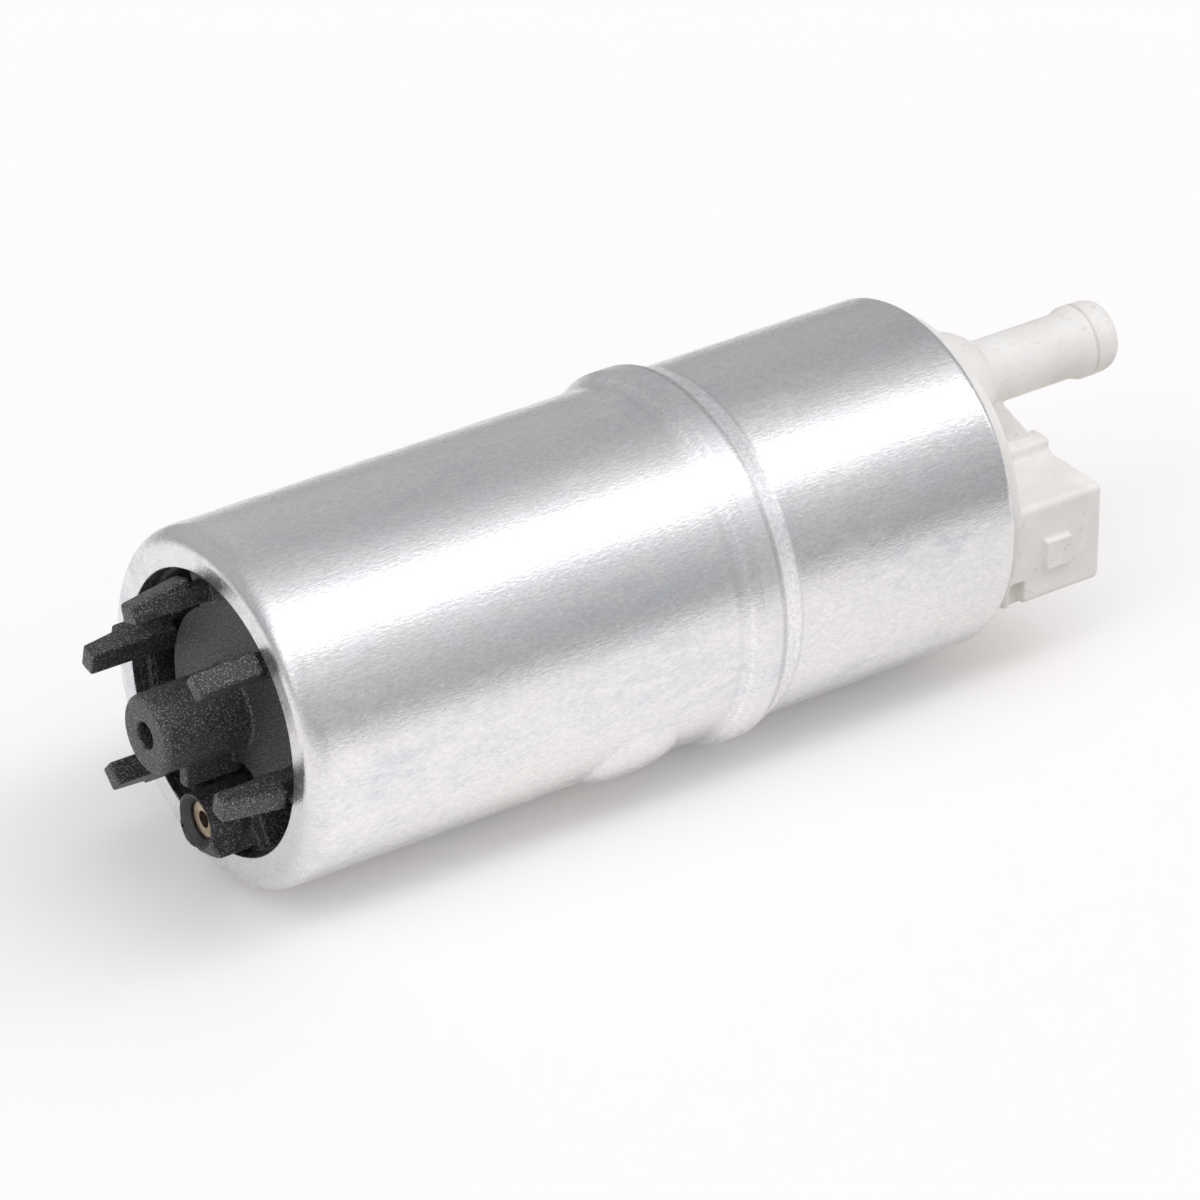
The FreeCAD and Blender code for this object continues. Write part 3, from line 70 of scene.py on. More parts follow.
def add(tree, kind, inputs=(), stops=(), **settings):
    """A node in a tree. An input is a value, or the socket that it is linked to, and a stop of a ramp is
    a place with a colour: a hex, three parts or a grey. Mix has its colours on 6 and 7, out at 2."""
    shared = tree.type == "SHADER" or kind in ("Math", "CombineXYZ")
    made = tree.nodes.new(("ShaderNode" if shared else "GeometryNode") + kind)
    for key, value in settings.items():
        setattr(made, key, value)
    for key, value in dict(inputs).items():
        if isinstance(value, bpy.types.NodeSocket):
            tree.links.new(value, made.inputs[key])
        else:
            made.inputs[key].default_value = value
    bands = made.color_ramp.elements if stops else ()
    for _ in stops[2:]:
        bands.new(1.0)
    for band, (place, colour) in zip(bands, stops):
        band.position = place
        parts = [colour] * 3 if isinstance(colour, (int, float)) else colour
        band.color = linear(colour) if isinstance(colour, str) else (*parts, 1.0)
    return made


# Direction in degrees from +Y over the zenith to -Y, and the tent's brightness there.
TENT = (
    (0, 0.38), (3, 0.50), (23, 0.52), (35, 0.50), (47, 0.49), (59, 0.47), (71, 0.52), (80, 0.68), (89, 0.82),
    (97, 0.95), (103, 1.35), (109, 2.50), (115, 2.80), (120, 2.30), (124, 1.10), (130, 0.84), (139, 0.77),
    (148, 0.66), (155, 0.57), (163, 0.52), (171, 0.48), (180, 0.46),
)
TENT_TINT = (0.99, 0.988, 1.015)
TENT_PEAK = 2.8
world = bpy.data.worlds.new("Tent")
bpy.context.scene.world = world
world.use_nodes = True
tree = world.node_tree
tree.nodes.clear()
toward = add(tree, "SeparateXYZ", {0: add(tree, "TexCoord").outputs["Generated"]})
turn = add(tree, "Math", {0: toward.outputs["Z"], 1: toward.outputs["Y"]}, operation="ARCTAN2")
share = add(tree, "Math", {0: turn.outputs[0], 1: math.pi}, operation="DIVIDE")
stops = [(angle / 180, [value / TENT_PEAK * part for part in TENT_TINT]) for angle, value in TENT]
brightness = add(tree, "ValToRGB", {"Fac": share.outputs[0]}, stops)
tent_light = add(tree, "Background", {"Color": brightness.outputs[0], "Strength": TENT_PEAK})
backdrop = add(tree, "Background", {"Color": linear("#FFFFFF"), "Strength": 1.0})
seen = add(tree, "LightPath").outputs["Is Camera Ray"]
mixed = add(tree, "MixShader", {0: seen, 1: tent_light.outputs[0], 2: backdrop.outputs[0]})
add(tree, "OutputWorld", {"Surface": mixed.outputs[0]})
bpy.context.scene.view_settings.view_transform = "Standard"


# Table: a matt white board, half a metre square. Its own glow lifts it to white for the eye and for
# reflections and leaves the shadow under the pump. It throws less light back on the pump than it shows.
# Sizes in this file are millimetres in the CAD frame, and become metres where a mesh is written.
MM = 0.001
TABLE_TOP = -22.8
TABLE_HALF = 250
corners = [(x * TABLE_HALF, y * TABLE_HALF, TABLE_TOP) for x, y in ((-1, -1), (1, -1), (1, 1), (-1, 1))]
mesh = bpy.data.meshes.new("Table")
mesh.from_pydata([[c * MM for c in corner] for corner in corners], [], [(0, 1, 2, 3)])
table = bpy.data.objects.new("Table", mesh)
bpy.context.collection.objects.link(table)
board = bpy.data.materials.new("Matt white table board")
board.use_nodes = True
tree = board.node_tree
tree.nodes.clear()
matt = add(tree, "BsdfDiffuse", {"Color": linear("#FEFCFA")})
bounce = add(tree, "BsdfDiffuse", {"Color": linear("#CFCBC7")})
path = add(tree, "LightPath").outputs
seen = add(tree, "Math", {0: path["Is Camera Ray"], 1: path["Is Glossy Ray"]}, operation="MAXIMUM")
seen = add(tree, "Math", {0: seen.outputs[0], 1: path["Is Transmission Ray"]}, operation="MAXIMUM")
glow = add(tree, "Emission", {"Color": linear("#FFFFFF"), "Strength": 0.08})
lifted = add(tree, "AddShader", {0: matt.outputs[0], 1: glow.outputs[0]})
mixed = add(tree, "MixShader", {0: seen.outputs[0], 1: bounce.outputs[0], 2: lifted.outputs[0]})
add(tree, "OutputMaterial", {"Surface": mixed.outputs[0]})
table.data.materials.append(board)


# Can: 1 mm aluminium sheet, deep drawn. Its front rim is rolled in over the inlet cover, a bead is
# swaged into the barrel, an oval is pressed out and the rear edge is rolled over the outlet cap.

# RIM is the front face of the can and TAIL its rear edge. The axis is +X, from the inlet cover to
# the nipple, and directions round it are degrees from +Y towards +Z.
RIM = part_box("flux_ring")[0].x / MM - 25.05
CAN_LENGTH = 98.0
TAIL = RIM + CAN_LENGTH
CAN_RADIUS = 21.5
SHEET = 1.05
CAN_COLUMNS = 500
OVAL_PLACE = (RIM + 46.75, math.radians(224))
OVAL_SIZE = (6.2, 7.4)
OVAL_HEIGHT = 1.0


def rounded(corners):
    """Points (x, radius) and normals of a closed outline of (x, radius, rounding, arc steps)."""
    points = []
    normals = []
    for index, (x, r, size, steps) in enumerate(corners):
        here = np.array((x, r))
        back = np.array(corners[index - 1][:2]) - here
        ahead = np.array(corners[(index + 1) % len(corners)][:2]) - here
        back /= np.linalg.norm(back)
        ahead /= np.linalg.norm(ahead)
        if not size:
            points.append(here)
            normals.append((-ahead[1], ahead[0]))
            continue
        half = math.acos(np.clip(back @ ahead, -1, 1)) / 2
        middle = here + (back + ahead) / np.linalg.norm(back + ahead) * size / math.sin(half)
        start = here + back * size / math.tan(half) - middle
        end = here + ahead * size / math.tan(half) - middle
        outward = math.copysign(1, start[0] * end[1] - start[1] * end[0]) * -1
        sweep = math.pi - 2 * half
        for step in range(steps + 1):
            angle = -outward * sweep * step / steps
            turned = np.array((start[0] * math.cos(angle) - start[1] * math.sin(angle),
                               start[0] * math.sin(angle) + start[1] * math.cos(angle)))
            points.append(middle + turned)
            normals.append(turned / size * outward)
    return np.array(points), np.array(normals)


def write_mesh(name, points, faces, normals):
    """A smooth object of the given points in millimetres, faces and outward normals."""
    mesh = bpy.data.meshes.new(name)
    mesh.from_pydata((points * MM).tolist(), [], faces.tolist())
    mesh.shade_smooth()
    mesh.normals_split_custom_set_from_vertices(normals.tolist())
    obj = bpy.data.objects.new(name, mesh)
    bpy.context.collection.objects.link(obj)
    return obj


def loop_faces(rows, columns):
    """Quads of a closed ring of rows, each a closed ring of columns."""
    row, column = np.meshgrid(np.arange(rows), np.arange(columns), indexing="ij")
    row, column = row.ravel(), column.ravel()
    below = (row + 1) % rows
    beside = (column + 1) % columns
    here, under = row * columns, below * columns
    return np.stack((here + column, here + beside, under + beside, under + column), axis=1)


def finish_piece(obj, material, body, slot, *nodes):
    """Gives a piece its material, hangs it on the body that it rides on and hides the CAD nodes that it stands
    for.
    """
    obj.data.materials.append(material)
    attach(obj, body)
    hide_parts(*nodes)


def can_outline():
    """Closed outline of the can's sheet, outside from front to rear and inside back again."""
    barrel = [RIM + 4 + 2.6 * i for i in range(14)]
    barrel += [OVAL_PLACE[0] - 7.2 + 0.36 * i for i in range(41)]
    rear_barrel = [RIM + 69.5 + 2.6 * i for i in range(10)]
    inner = CAN_RADIUS - SHEET
    outside = [(RIM, 17.0, 0.22, 4), (RIM, CAN_RADIUS, 2.5, 12)] + [(x, CAN_RADIUS, 0, 0) for x in barrel]
    bead = [(58.1, 0, 2.6, 6), (60.6, 1.3, 1.1, 6), (63.4, 1.3, 1.5, 6), (66.5, 0, 3.2, 6)]
    outside += [(RIM + x, CAN_RADIUS + high, size, steps) for x, high, size, steps in bead]
    outside += [(x, CAN_RADIUS, 0, 0) for x in rear_barrel]
    outside += [(TAIL, CAN_RADIUS, 1.3, 9), (TAIL, 19.6, 0.25, 4), (TAIL - 0.95, 19.6, 0.15, 2)]
    outside += [(TAIL - SHEET, inner, 0.3, 3)]
    bead_inside = [(66.24, 0, 1.0, 3), (63.14, 1.3, 1.0, 3), (60.86, 1.3, 1.0, 3), (58.36, 0, 1.0, 3)]
    inside = [(RIM + x, inner + high, size, steps) for x, high, size, steps in bead_inside]
    inside += [(x, inner, 0, 0) for x in barrel[:13:-1]]
    inside += [(RIM + SHEET, inner, 1.3, 5), (RIM + SHEET, 17.0, 0.15, 2)]
    return outside + inside


def build_can():
    """The can as one closed sheet, with the pressed oval as a swelling of it."""
    outline, slope = rounded(can_outline())
    angle = np.linspace(0, 2 * math.pi, CAN_COLUMNS, endpoint=False)[None, :]
    x = np.repeat(outline[:, :1], CAN_COLUMNS, axis=1)
    r = np.repeat(outline[:, 1:], CAN_COLUMNS, axis=1)

    def swelling(x, angle):
        across = CAN_RADIUS * (angle - OVAL_PLACE[1]) / OVAL_SIZE[1]
        q = np.hypot((x - OVAL_PLACE[0]) / OVAL_SIZE[0], across)
        dome = 1.0 - q ** 3
        return OVAL_HEIGHT * (dome + np.hypot(dome, 0.04)) / 2

    step = 0.02
    along = (swelling(x + step, angle) - swelling(x - step, angle)) / (2 * step)
    round_step = step / CAN_RADIUS
    around = (swelling(x, angle + round_step) - swelling(x, angle - round_step)) / (2 * step)
    r = r + swelling(x, angle)
    lift = slope[:, 1:] * np.ones_like(angle)
    direction = np.stack((
        slope[:, :1] - along * lift,
        lift * np.cos(angle) + around * lift * np.sin(angle),
        lift * np.sin(angle) - around * lift * np.cos(angle),
    ), axis=-1)
    points = np.stack((x, r * np.cos(angle), r * np.sin(angle)), axis=-1)
    direction /= np.linalg.norm(direction, axis=-1, keepdims=True)
    faces = loop_faces(len(outline), CAN_COLUMNS)
    return write_mesh("can", points.reshape(-1, 3), faces, direction.reshape(-1, 3))


def new_material(name):
    """A material with one Principled surface: its node tree and that shader."""
    made = bpy.data.materials.new(name)
    made.use_nodes = True
    made.node_tree.nodes.clear()
    shader = add(made.node_tree, "BsdfPrincipled")
    add(made.node_tree, "OutputMaterial", {"Surface": shader.outputs[0]})
    return made, made.node_tree, shader.inputs


# Drawn aluminium, satin. The die leaves fine lines along the barrel, 0.15 mm wide. Haze and oxide
# 1 to 4 mm across make its gloss uneven, which shows where a bright reflection ends, and the
# swaging tool leaves hairlines round the bead. Painted on top: a dark line of painted shade at the
# bead's crease, a painted highlight on its rear flank, and painted shade towards both ends of the can.
drawn_aluminium, tree, surface = new_material("Drawn aluminium, satin with die lines")
place = add(tree, "TexCoord").outputs["Object"]
lines_at = add(tree, "Mapping", {"Vector": place, "Scale": (700, 5200, 5200)})
lines = add(tree, "TexNoise", {"Vector": lines_at.outputs[0], "Scale": 1.0, "Detail": 2.0})
grain_at = add(tree, "Mapping", {"Vector": place, "Scale": (1300, 3000, 3000)})
grain = add(tree, "TexNoise", {"Vector": grain_at.outputs[0], "Scale": 1.0, "Detail": 5.0, "Roughness": 0.7})
haze_at = add(tree, "Mapping", {"Vector": place, "Scale": (240, 520, 520)})
haze = add(tree, "TexNoise", {"Vector": haze_at.outputs[0], "Scale": 1.0, "Detail": 7.0, "Roughness": 0.68})
cloud_at = add(tree, "Mapping", {"Vector": place, "Scale": (35, 80, 80)})
cloud = add(tree, "TexNoise", {"Vector": cloud_at.outputs[0], "Scale": 1.0, "Detail": 3.0})
hazy = add(tree, "MapRange", {"Value": haze.outputs["Fac"], "From Min": 0.40, "From Max": 0.66})
dull = add(tree, "MapRange", {"Value": cloud.outputs["Fac"], "From Min": 0.38, "From Max": 0.68})
patch = add(tree, "Math", {0: hazy.outputs[0], 1: dull.outputs[0]}, operation="MULTIPLY")
along = add(tree, "SeparateXYZ", {0: place}).outputs["X"]
share = add(tree, "MapRange", {"Value": along, "From Min": RIM * MM, "From Max": TAIL * MM}).outputs[0]
# Painted shade: the can's tone is darker over the front rim and towards the rear edge, where its reflections
# fall darker.
painted_end_shade = add(tree, "ValToRGB", {"Fac": share}, [
    (0.0, 0.93), (0.015, 0.93), (0.03, 1.0), (0.1, 0.97), (0.6, 0.94), (0.9, 0.88), (1.0, 0.85)])
# Tone of the hairlines along the can, with painted light on the bead: the dark line at its crease is painted
# shade, and its rear flank between the last two is painted brighter, a painted highlight.
PLAIN_TONE = 0.8
BEAD_HAIRLINES_AND_PAINTED_LIGHT = ((58.0, 0.80), (59.3, 1.12), (63.35, 0.25), (66.6, 0.82))
stops = [(0.0, PLAIN_TONE), (63.75 / CAN_LENGTH, 0.93), (66.3 / CAN_LENGTH, 0.93)]
for middle, strength in BEAD_HAIRLINES_AND_PAINTED_LIGHT:
    for shift, level in ((-0.24, 1), (-0.12, strength), (0.12, strength), (0.24, 1)):
        stops.append(((middle + shift) / CAN_LENGTH, PLAIN_TONE * level))
hairlines_and_painted_bead_light = add(tree, "ValToRGB", {"Fac": share}, sorted(stops)).outputs[0]
worn = add(tree, "MapRange", {"Value": grain.outputs["Fac"], "From Min": 0.38, "From Max": 0.55})
plain = (PLAIN_TONE, PLAIN_TONE, PLAIN_TONE, 1.0)
hairlines_and_painted_bead_light = add(tree, "Mix", {0: worn.outputs[0], 6: plain, 7: hairlines_and_painted_bead_light}, data_type="RGBA")
clean, oxide = linear("#F3F2F1"), linear("#DCDFE6")
tint = add(tree, "Mix", {0: patch.outputs[0], 6: clean, 7: oxide}, data_type="RGBA").outputs[2]
speck = add(tree, "MapRange", {"Value": grain.outputs["Fac"], "From Min": 0.3, "From Max": 0.7,
                               "To Min": 0.86, "To Max": 1.10})
for factor in (speck.outputs[0], painted_end_shade.outputs[0], hairlines_and_painted_bead_light.outputs[2]):
    tint = add(tree, "Mix", {0: 1.0, 6: tint, 7: factor}, data_type="RGBA", blend_type="MULTIPLY").outputs[2]
# The plain tone is made up for, to no more than white.
tint = add(tree, "Mix", {0: 1.0, 6: tint, 7: [1 / PLAIN_TONE] * 3 + [1.0]},
           data_type="RGBA", blend_type="MULTIPLY", clamp_result=True).outputs[2]
rough = add(tree, "MapRange", {"Value": hazy.outputs[0], "To Min": 0.17, "To Max": 0.34}).outputs[0]
swaged = add(tree, "ValToRGB", {"Fac": share}, [(x / CAN_LENGTH, level) for x, level in (
    (60.4, 0.0), (60.8, 0.3), (63.2, 0.3), (63.5, 0.65), (66.3, 0.65), (66.8, 0.0))])
rough = add(tree, "Mix", {0: swaged.outputs[0], 2: rough, 3: 0.5}).outputs[0]
fine = add(tree, "Bump", {"Height": lines.outputs["Fac"], "Strength": 0.30, "Distance": 0.00004})
relief = add(tree, "Bump", {"Height": grain.outputs["Fac"], "Strength": 0.40, "Distance": 0.00008,
                            "Normal": fine.outputs[0]})
for socket, value in (("Base Color", tint), ("Roughness", rough), ("Normal", relief.outputs[0])):
    tree.links.new(value, surface[socket])
surface["Metallic"].default_value = 1.0

finish_piece(build_can(), drawn_aluminium, "housing", "drawn_aluminium", "housing_can")


# Inlet cover: one black moulding in the front of the can, held by the rolled rim. It carries the
# centre post and five prongs for the strainer, the inlet port and the cup of the relief valve.
SLIP = 20.4  # radius with which both covers slip into the can
PLATEAU = RIM + 2.55
COVER_BACK = RIM + 13.05
VALVE = (-0.9, -12.9)


def box(p, x, y, z, edge=0.0):
    """Signed distance to a box given by its ranges, with rounded edges."""
    q = [abs(c - (low + high) / 2) - (high - low) / 2 + edge for c, (low, high) in zip(p, (x, y, z))]
    outside = np.sqrt(sum(np.maximum(c, 0) ** 2 for c in q))
    return outside + np.minimum(np.maximum(np.maximum(q[0], q[1]), q[2]), 0) - edge


def bar(p, start, end, radius, y=0.0, z=0.0, edge=0.0):
    """Signed distance to a round bar along X, with rounded edges."""
    along = abs(p[0] - (start + end) / 2) - (end - start) / 2 + edge
    out = np.hypot(p[1] - y, p[2] - z) - radius + edge
    return np.hypot(np.maximum(along, 0), np.maximum(out, 0)) + np.minimum(np.maximum(along, out), 0) - edge


def merge(a, b, blend=0.0):
    """Union of two solids, with a fillet."""
    if not blend:
        return np.minimum(a, b)
    near = np.maximum(blend - abs(a - b), 0) / blend
    return np.minimum(a, b) - near * near * blend / 4


def common(a, b, blend=0.0):
    """What two solids share, with a rounded edge."""
    return -merge(-a, -b, blend)


def carve(a, b, blend=0.0):
    """First solid less the second, with a rounded edge."""
    return -merge(-a, b, blend)


def sector(p, x, inner, outer, start, sweep):
    """Arc band about the axis, of less than half a turn."""
    out = np.hypot(p[1], p[2])
    first, last = (
        p[1] * math.cos(turn) + p[2] * math.sin(turn)
        for turn in (math.radians(start - 90), math.radians(start + sweep + 90)))
    sides = np.maximum(first, last)
    ends = np.maximum(x[0] - p[0], p[0] - x[1])
    return np.maximum(np.maximum(np.maximum(inner - out, out - outer), sides), ends)


def plate(p, x, outline, edge=0.0):
    """Flat plate across X, with a convex outline of (y, z) points given anticlockwise."""
    sides = [
        ((p[1] - y0) * (z1 - z0) - (p[2] - z0) * (y1 - y0)) / math.hypot(y1 - y0, z1 - z0)
        for (y0, z0), (y1, z1) in zip(outline, outline[1:] + outline[:1])]
    solid = sides[0]
    for side in sides[1:] + [abs(p[0] - sum(x) / 2) - (x[1] - x[0]) / 2]:
        solid = common(solid, side, edge)
    return solid


def gradient(field, point):
    """Slope of a distance field at some points."""
    step = 0.03
    return np.stack([
        (field([c + step * (i == k) for i, c in enumerate(point)])
         - field([c - step * (i == k) for i, c in enumerate(point)])) / (2 * step)
        for k in range(3)
    ])


def skin(name, field, x, y, z):
    """Closed mesh of the zero level of a distance field, on a grid of the given planes."""
    planes = (x, y, z)
    inside = field(np.meshgrid(*planes, indexing="ij")) < 0
    cells = tuple(n - 1 for n in inside.shape)
    filled = np.zeros(cells, np.int8)
    for corner in itertools.product((0, 1), repeat=3):
        filled += inside[tuple(slice(c, c + n) for c, n in zip(corner, cells))]
    active = (filled > 0) & (filled < 8)
    number = np.full(cells, -1)
    number[active] = np.arange(active.sum())
    where = np.argwhere(active)
    low = np.stack([plane[where[:, k]] for k, plane in enumerate(planes)])
    high = np.stack([plane[where[:, k] + 1] for k, plane in enumerate(planes)])
    point = (low + high) / 2
    room = (high - low) * 0.2
    for _ in range(6):
        slope = gradient(field, point)
        size = np.maximum((slope ** 2).sum(0), 0.05)
        point = np.clip(point - field(point) * slope / size, low - room, high + room)
    faces = []
    for k in range(3):
        a, b = (k + 1) % 3, (k + 2) % 3
        first = np.take(inside, range(inside.shape[k] - 1), axis=k)
        second = np.take(inside, range(1, inside.shape[k]), axis=k)
        for rising in (True, False):
            edge = np.argwhere(first & ~second if rising else second & ~first)
            around = []
            for da, db in ((-1, -1), (0, -1), (0, 0), (-1, 0)):
                cell = edge.copy()
                cell[:, a] += da
                cell[:, b] += db
                around.append(number[tuple(cell.T)])
            faces.append(np.stack(around if rising else around[::-1], axis=1))
    slope = gradient(field, point)
    return write_mesh(name, point.T, np.concatenate(faces), (slope / np.linalg.norm(slope, axis=0)).T)


def prong(p, direction):
    """One prong with its root in the cover: flat inner face, outer face that leans in towards the tip."""
    angle = math.radians(direction)
    out = p[1] * math.cos(angle) + p[2] * math.sin(angle)
    turned = (p[0], out, p[2] * math.cos(angle) - p[1] * math.sin(angle))
    width = (-1.425, 1.425)
    length, lean = 7.75, 1.2
    tip = RIM - length
    outer = (out - 15.1 - (p[0] - tip) * (lean / length)) * 0.988
    solid = common(box(turned, (tip, RIM), (12.8, 16.3), width, 0.3), outer, 0.5)
    if direction in (12, 312):
        solid = merge(solid, box(turned, (RIM - 3, RIM + 3.7), (12.8, 16.6), width, 0.3))
        return merge(solid, box(turned, (RIM - 3, RIM + 10), (14.4, 16.6), width, 0.2), 0.1)
    return merge(solid, box(turned, (RIM - 3, RIM + 10), (12.8, 14.9), width, 0.2), 0.1)


def cover_field(p):
    """Signed distance to the inlet cover."""
    y, z = VALVE
    out = np.hypot(p[1], p[2])
    # Disc with a rounded front edge, and its ledge and face inside the rolled rim.
    solid = bar(p, RIM + SHEET, COVER_BACK, SLIP, edge=1.2)
    solid = np.maximum(solid, p[0] - COVER_BACK + 0.02)
    solid = merge(solid, bar(p, RIM + 8, COVER_BACK, SLIP))
    solid = carve(solid, np.maximum(out - 17.0, p[0] - RIM - 2.15), 0.15)
    solid = carve(solid, np.maximum(out - 16.4, p[0] - PLATEAU), 0.15)
    # Inlet port, the pump's two kidney ports behind it, the slot and the recess beside the valve.
    solid = carve(solid, sector(p, (RIM, RIM + 9.5), 11.8, 16.4, -74, 134), 0.3)
    solid = carve(solid, sector(p, (RIM + 7, COVER_BACK + 1), 8.0, 12.5, -60, 110), 0.2)
    solid = carve(solid, sector(p, (COVER_BACK - 1.5, COVER_BACK + 1), 8.0, 11.5, 125, 100))
    slot = np.array((7.0, -2.2))
    share = np.clip(((p[1] + 3.0) * slot[0] + (p[2] + 8.0) * slot[1]) / (slot @ slot), 0, 1)
    slot_side = np.hypot(p[1] + 3.0 - slot[0] * share, p[2] + 8.2 - slot[1] * share) - 1.85
    solid = carve(solid, np.maximum(slot_side, p[0] - PLATEAU - 5.0), 0.3)
    solid = carve(solid, sector(p, (RIM, PLATEAU + 6.0), 10.5, 16.4, 208, 35), 0.3)
    # Valve cup with its boss, the web from it to the post, the post and the prongs.
    cup = bar(p, RIM - 3.05, COVER_BACK - 3, 3.45, y, z, edge=0.15)
    corners = ((-2.9, -0.7), (-5.2, -2.3), (-5.2, -4.5), (1.8, -4.5), (3.0, -1.5))
    boss = plate(p, (RIM - 3.05, PLATEAU + 6.5), [(y + across, z + up) for across, up in corners], 0.3)
    boss = common(merge(cup, boss, 0.5), out - 16.35, 0.3)
    solid = merge(solid, boss, 0.4)
    solid = merge(solid, box(p, (RIM - 3.75, PLATEAU + 1), (-0.6, 1.0), (-8.4, -3.9), 0.25), 0.4)
    post = bar(p, RIM - 8.85, PLATEAU + 1, 4.9, edge=0.9)
    solid = merge(solid, post + 0.2 * np.clip((RIM - p[0]) / 8.85, 0, 1), 0.5)
    for direction in (12, 72, 132, 192, 312):
        solid = merge(solid, prong(p, direction), 0.5)
    # The strainer's hole, the stepped bore of the valve, the shaft's and the pins' holes, the seal's groove.
    solid = carve(solid, bar(p, RIM - 12, RIM + 0.15, 1.6), 0.25)
    bore = np.interp(p[0] - RIM, (-3.1, -2.15, -1.95, -1.85, -1.3, -1.2), (3.3, 2.15, 2.15, 2.35, 2.35, 2.9))
    solid = carve(solid, np.maximum((np.hypot(p[1] - y, p[2] - z) - bore) * 0.8, p[0] - RIM - 8.2), 0.2)
    solid = carve(solid, bar(p, RIM + 8, RIM + 11.5, 1.6, y, z))
    solid = carve(solid, bar(p, RIM + 8.05, COVER_BACK + 1, 2.04))
    for angle, radius, size, start in ((174, 18.0, 1.2, 10.05), (354, 18.0, 1.2, 10.05), (266, 18.3, 0.9, 9.7)):
        across, up = radius * math.cos(math.radians(angle)), radius * math.sin(math.radians(angle))
        solid = carve(solid, bar(p, RIM + start, COVER_BACK + 1, size, across, up))
    return carve(solid, np.maximum(abs(p[0] - RIM - 7.0) - 0.95, 18.7 - out))


def planes(*spans):
    """Grid planes from spans of start, end and greatest step."""
    rows = [np.linspace(a, b, math.ceil((b - a) / step), endpoint=False) for a, b, step in spans]
    return np.concatenate(rows + [np.array([spans[-1][1]])])


# Black acetal, as moulded by a spark-finished tool: matt, with a fine grain 0.15 mm across whose pale
# specks are painted glints in the colour. The staked lip of the valve cup has melted to a gloss.
black_plastic, tree, surface = new_material("Black acetal, spark-textured")
place = add(tree, "TexCoord").outputs["Object"]
grain = add(tree, "TexNoise", {"Vector": place, "Scale": 5200.0, "Detail": 2.0, "Roughness": 0.5})
# The pale specks of this grain are painted glints; the darker stops are the plastic's own tone.
grain_with_painted_glints = add(tree, "ValToRGB", {"Fac": grain.outputs["Fac"]}, [
    (0.36, "#0A090A"), (0.47, "#1D1B1D"), (0.56, "#3F3C3F"), (0.66, "#928D91")])
from_valve = add(tree, "Mapping", {"Vector": place, "Location": (0, -VALVE[0] * MM, -VALVE[1] * MM),
                                   "Scale": (0, 1, 1)})
from_valve = add(tree, "VectorMath", {0: from_valve.outputs[0]}, operation="LENGTH")
from_valve = from_valve.outputs["Value"]
lip = add(tree, "MapRange", {"Value": from_valve, "From Min": 3.4 * MM, "From Max": 3.1 * MM}).outputs[0]
colour = add(tree, "Mix", {0: lip, 6: grain_with_painted_glints.outputs[0], 7: linear("#1C1613")}, data_type="RGBA").outputs[2]
gloss = add(tree, "Mix", {0: lip, 2: 0.38, 3: 0.2}).outputs[0]
relief = add(tree, "Bump", {"Height": grain.outputs["Fac"], "Strength": 0.9, "Distance": 0.00018})
for socket, value in (("Base Color", colour), ("Roughness", gloss), ("Normal", relief.outputs[0])):
    tree.links.new(value, surface[socket])
surface["IOR"].default_value = 1.48
surface["Specular IOR Level"].default_value = 0.85

across = planes((-20.9, 20.9, 0.33))
along = planes((RIM - 9.2, RIM + 3.4, 0.27), (RIM + 3.4, RIM + 13.5, 0.8))
cover = skin("inlet_cover_moulding", cover_field, along, across, across)
finish_piece(cover, black_plastic, "housing", "black_plastic", "inlet_cover")


# Relief valve: a bronze washer under the staked lip holds a spring of drawn wire, which presses a
# ball of hardened steel on its seat in the cover.
def lathe(name, corners, y=0.0, z=0.0, columns=96):
    """Closed ring turned about a line along X, from corners of (x, radius, rounding, arc steps)."""
    outline, slope = rounded(corners)
    angle = np.linspace(0, 2 * math.pi, columns, endpoint=False)
    turned = np.stack((np.ones_like(angle), np.cos(angle), np.sin(angle)), axis=-1)
    points = outline[:, None, (0, 1, 1)] * turned + np.array((0, y, z))
    normals = slope[:, None, (0, 1, 1)] * turned
    return write_mesh(name, points.reshape(-1, 3), loop_faces(len(outline), columns), normals.reshape(-1, 3))


def mottled(name, low, high, grain, rough, metallic=0.0, relief=0.0, stretch=(1, 1, 1)):
    """A material whose tone, gloss and relief follow a noise with a grain in millimetres."""
    made, tree, surface = new_material(name)
    place = add(tree, "TexCoord").outputs["Object"]
    fine = add(tree, "Mapping", {"Vector": place, "Scale": [1000 / grain / s for s in stretch]})
    noise = add(tree, "TexNoise", {"Vector": fine.outputs[0], "Scale": 1.0, "Detail": 4.0, "Roughness": 0.65})
    noise = noise.outputs["Fac"]
    tone = add(tree, "ValToRGB", {"Fac": noise}, [(0.35, low), (0.65, high)])
    tree.links.new(tone.outputs[0], surface["Base Color"])
    gloss = add(tree, "MapRange", {"Value": noise, "From Min": 0.3, "From Max": 0.7,
                                   "To Min": rough * 1.2, "To Max": rough * 0.85})
    tree.links.new(gloss.outputs[0], surface["Roughness"])
    bump = add(tree, "Bump", {"Height": noise, "Strength": relief, "Distance": grain * MM / 2})
    tree.links.new(bump.outputs[0], surface["Normal"])
    surface["Metallic"].default_value = metallic
    return made


def dress(material, *nodes):
    """Gives CAD nodes a material in place of their plain one."""
    for node in nodes:
        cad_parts[node].material_slots[0].material = material


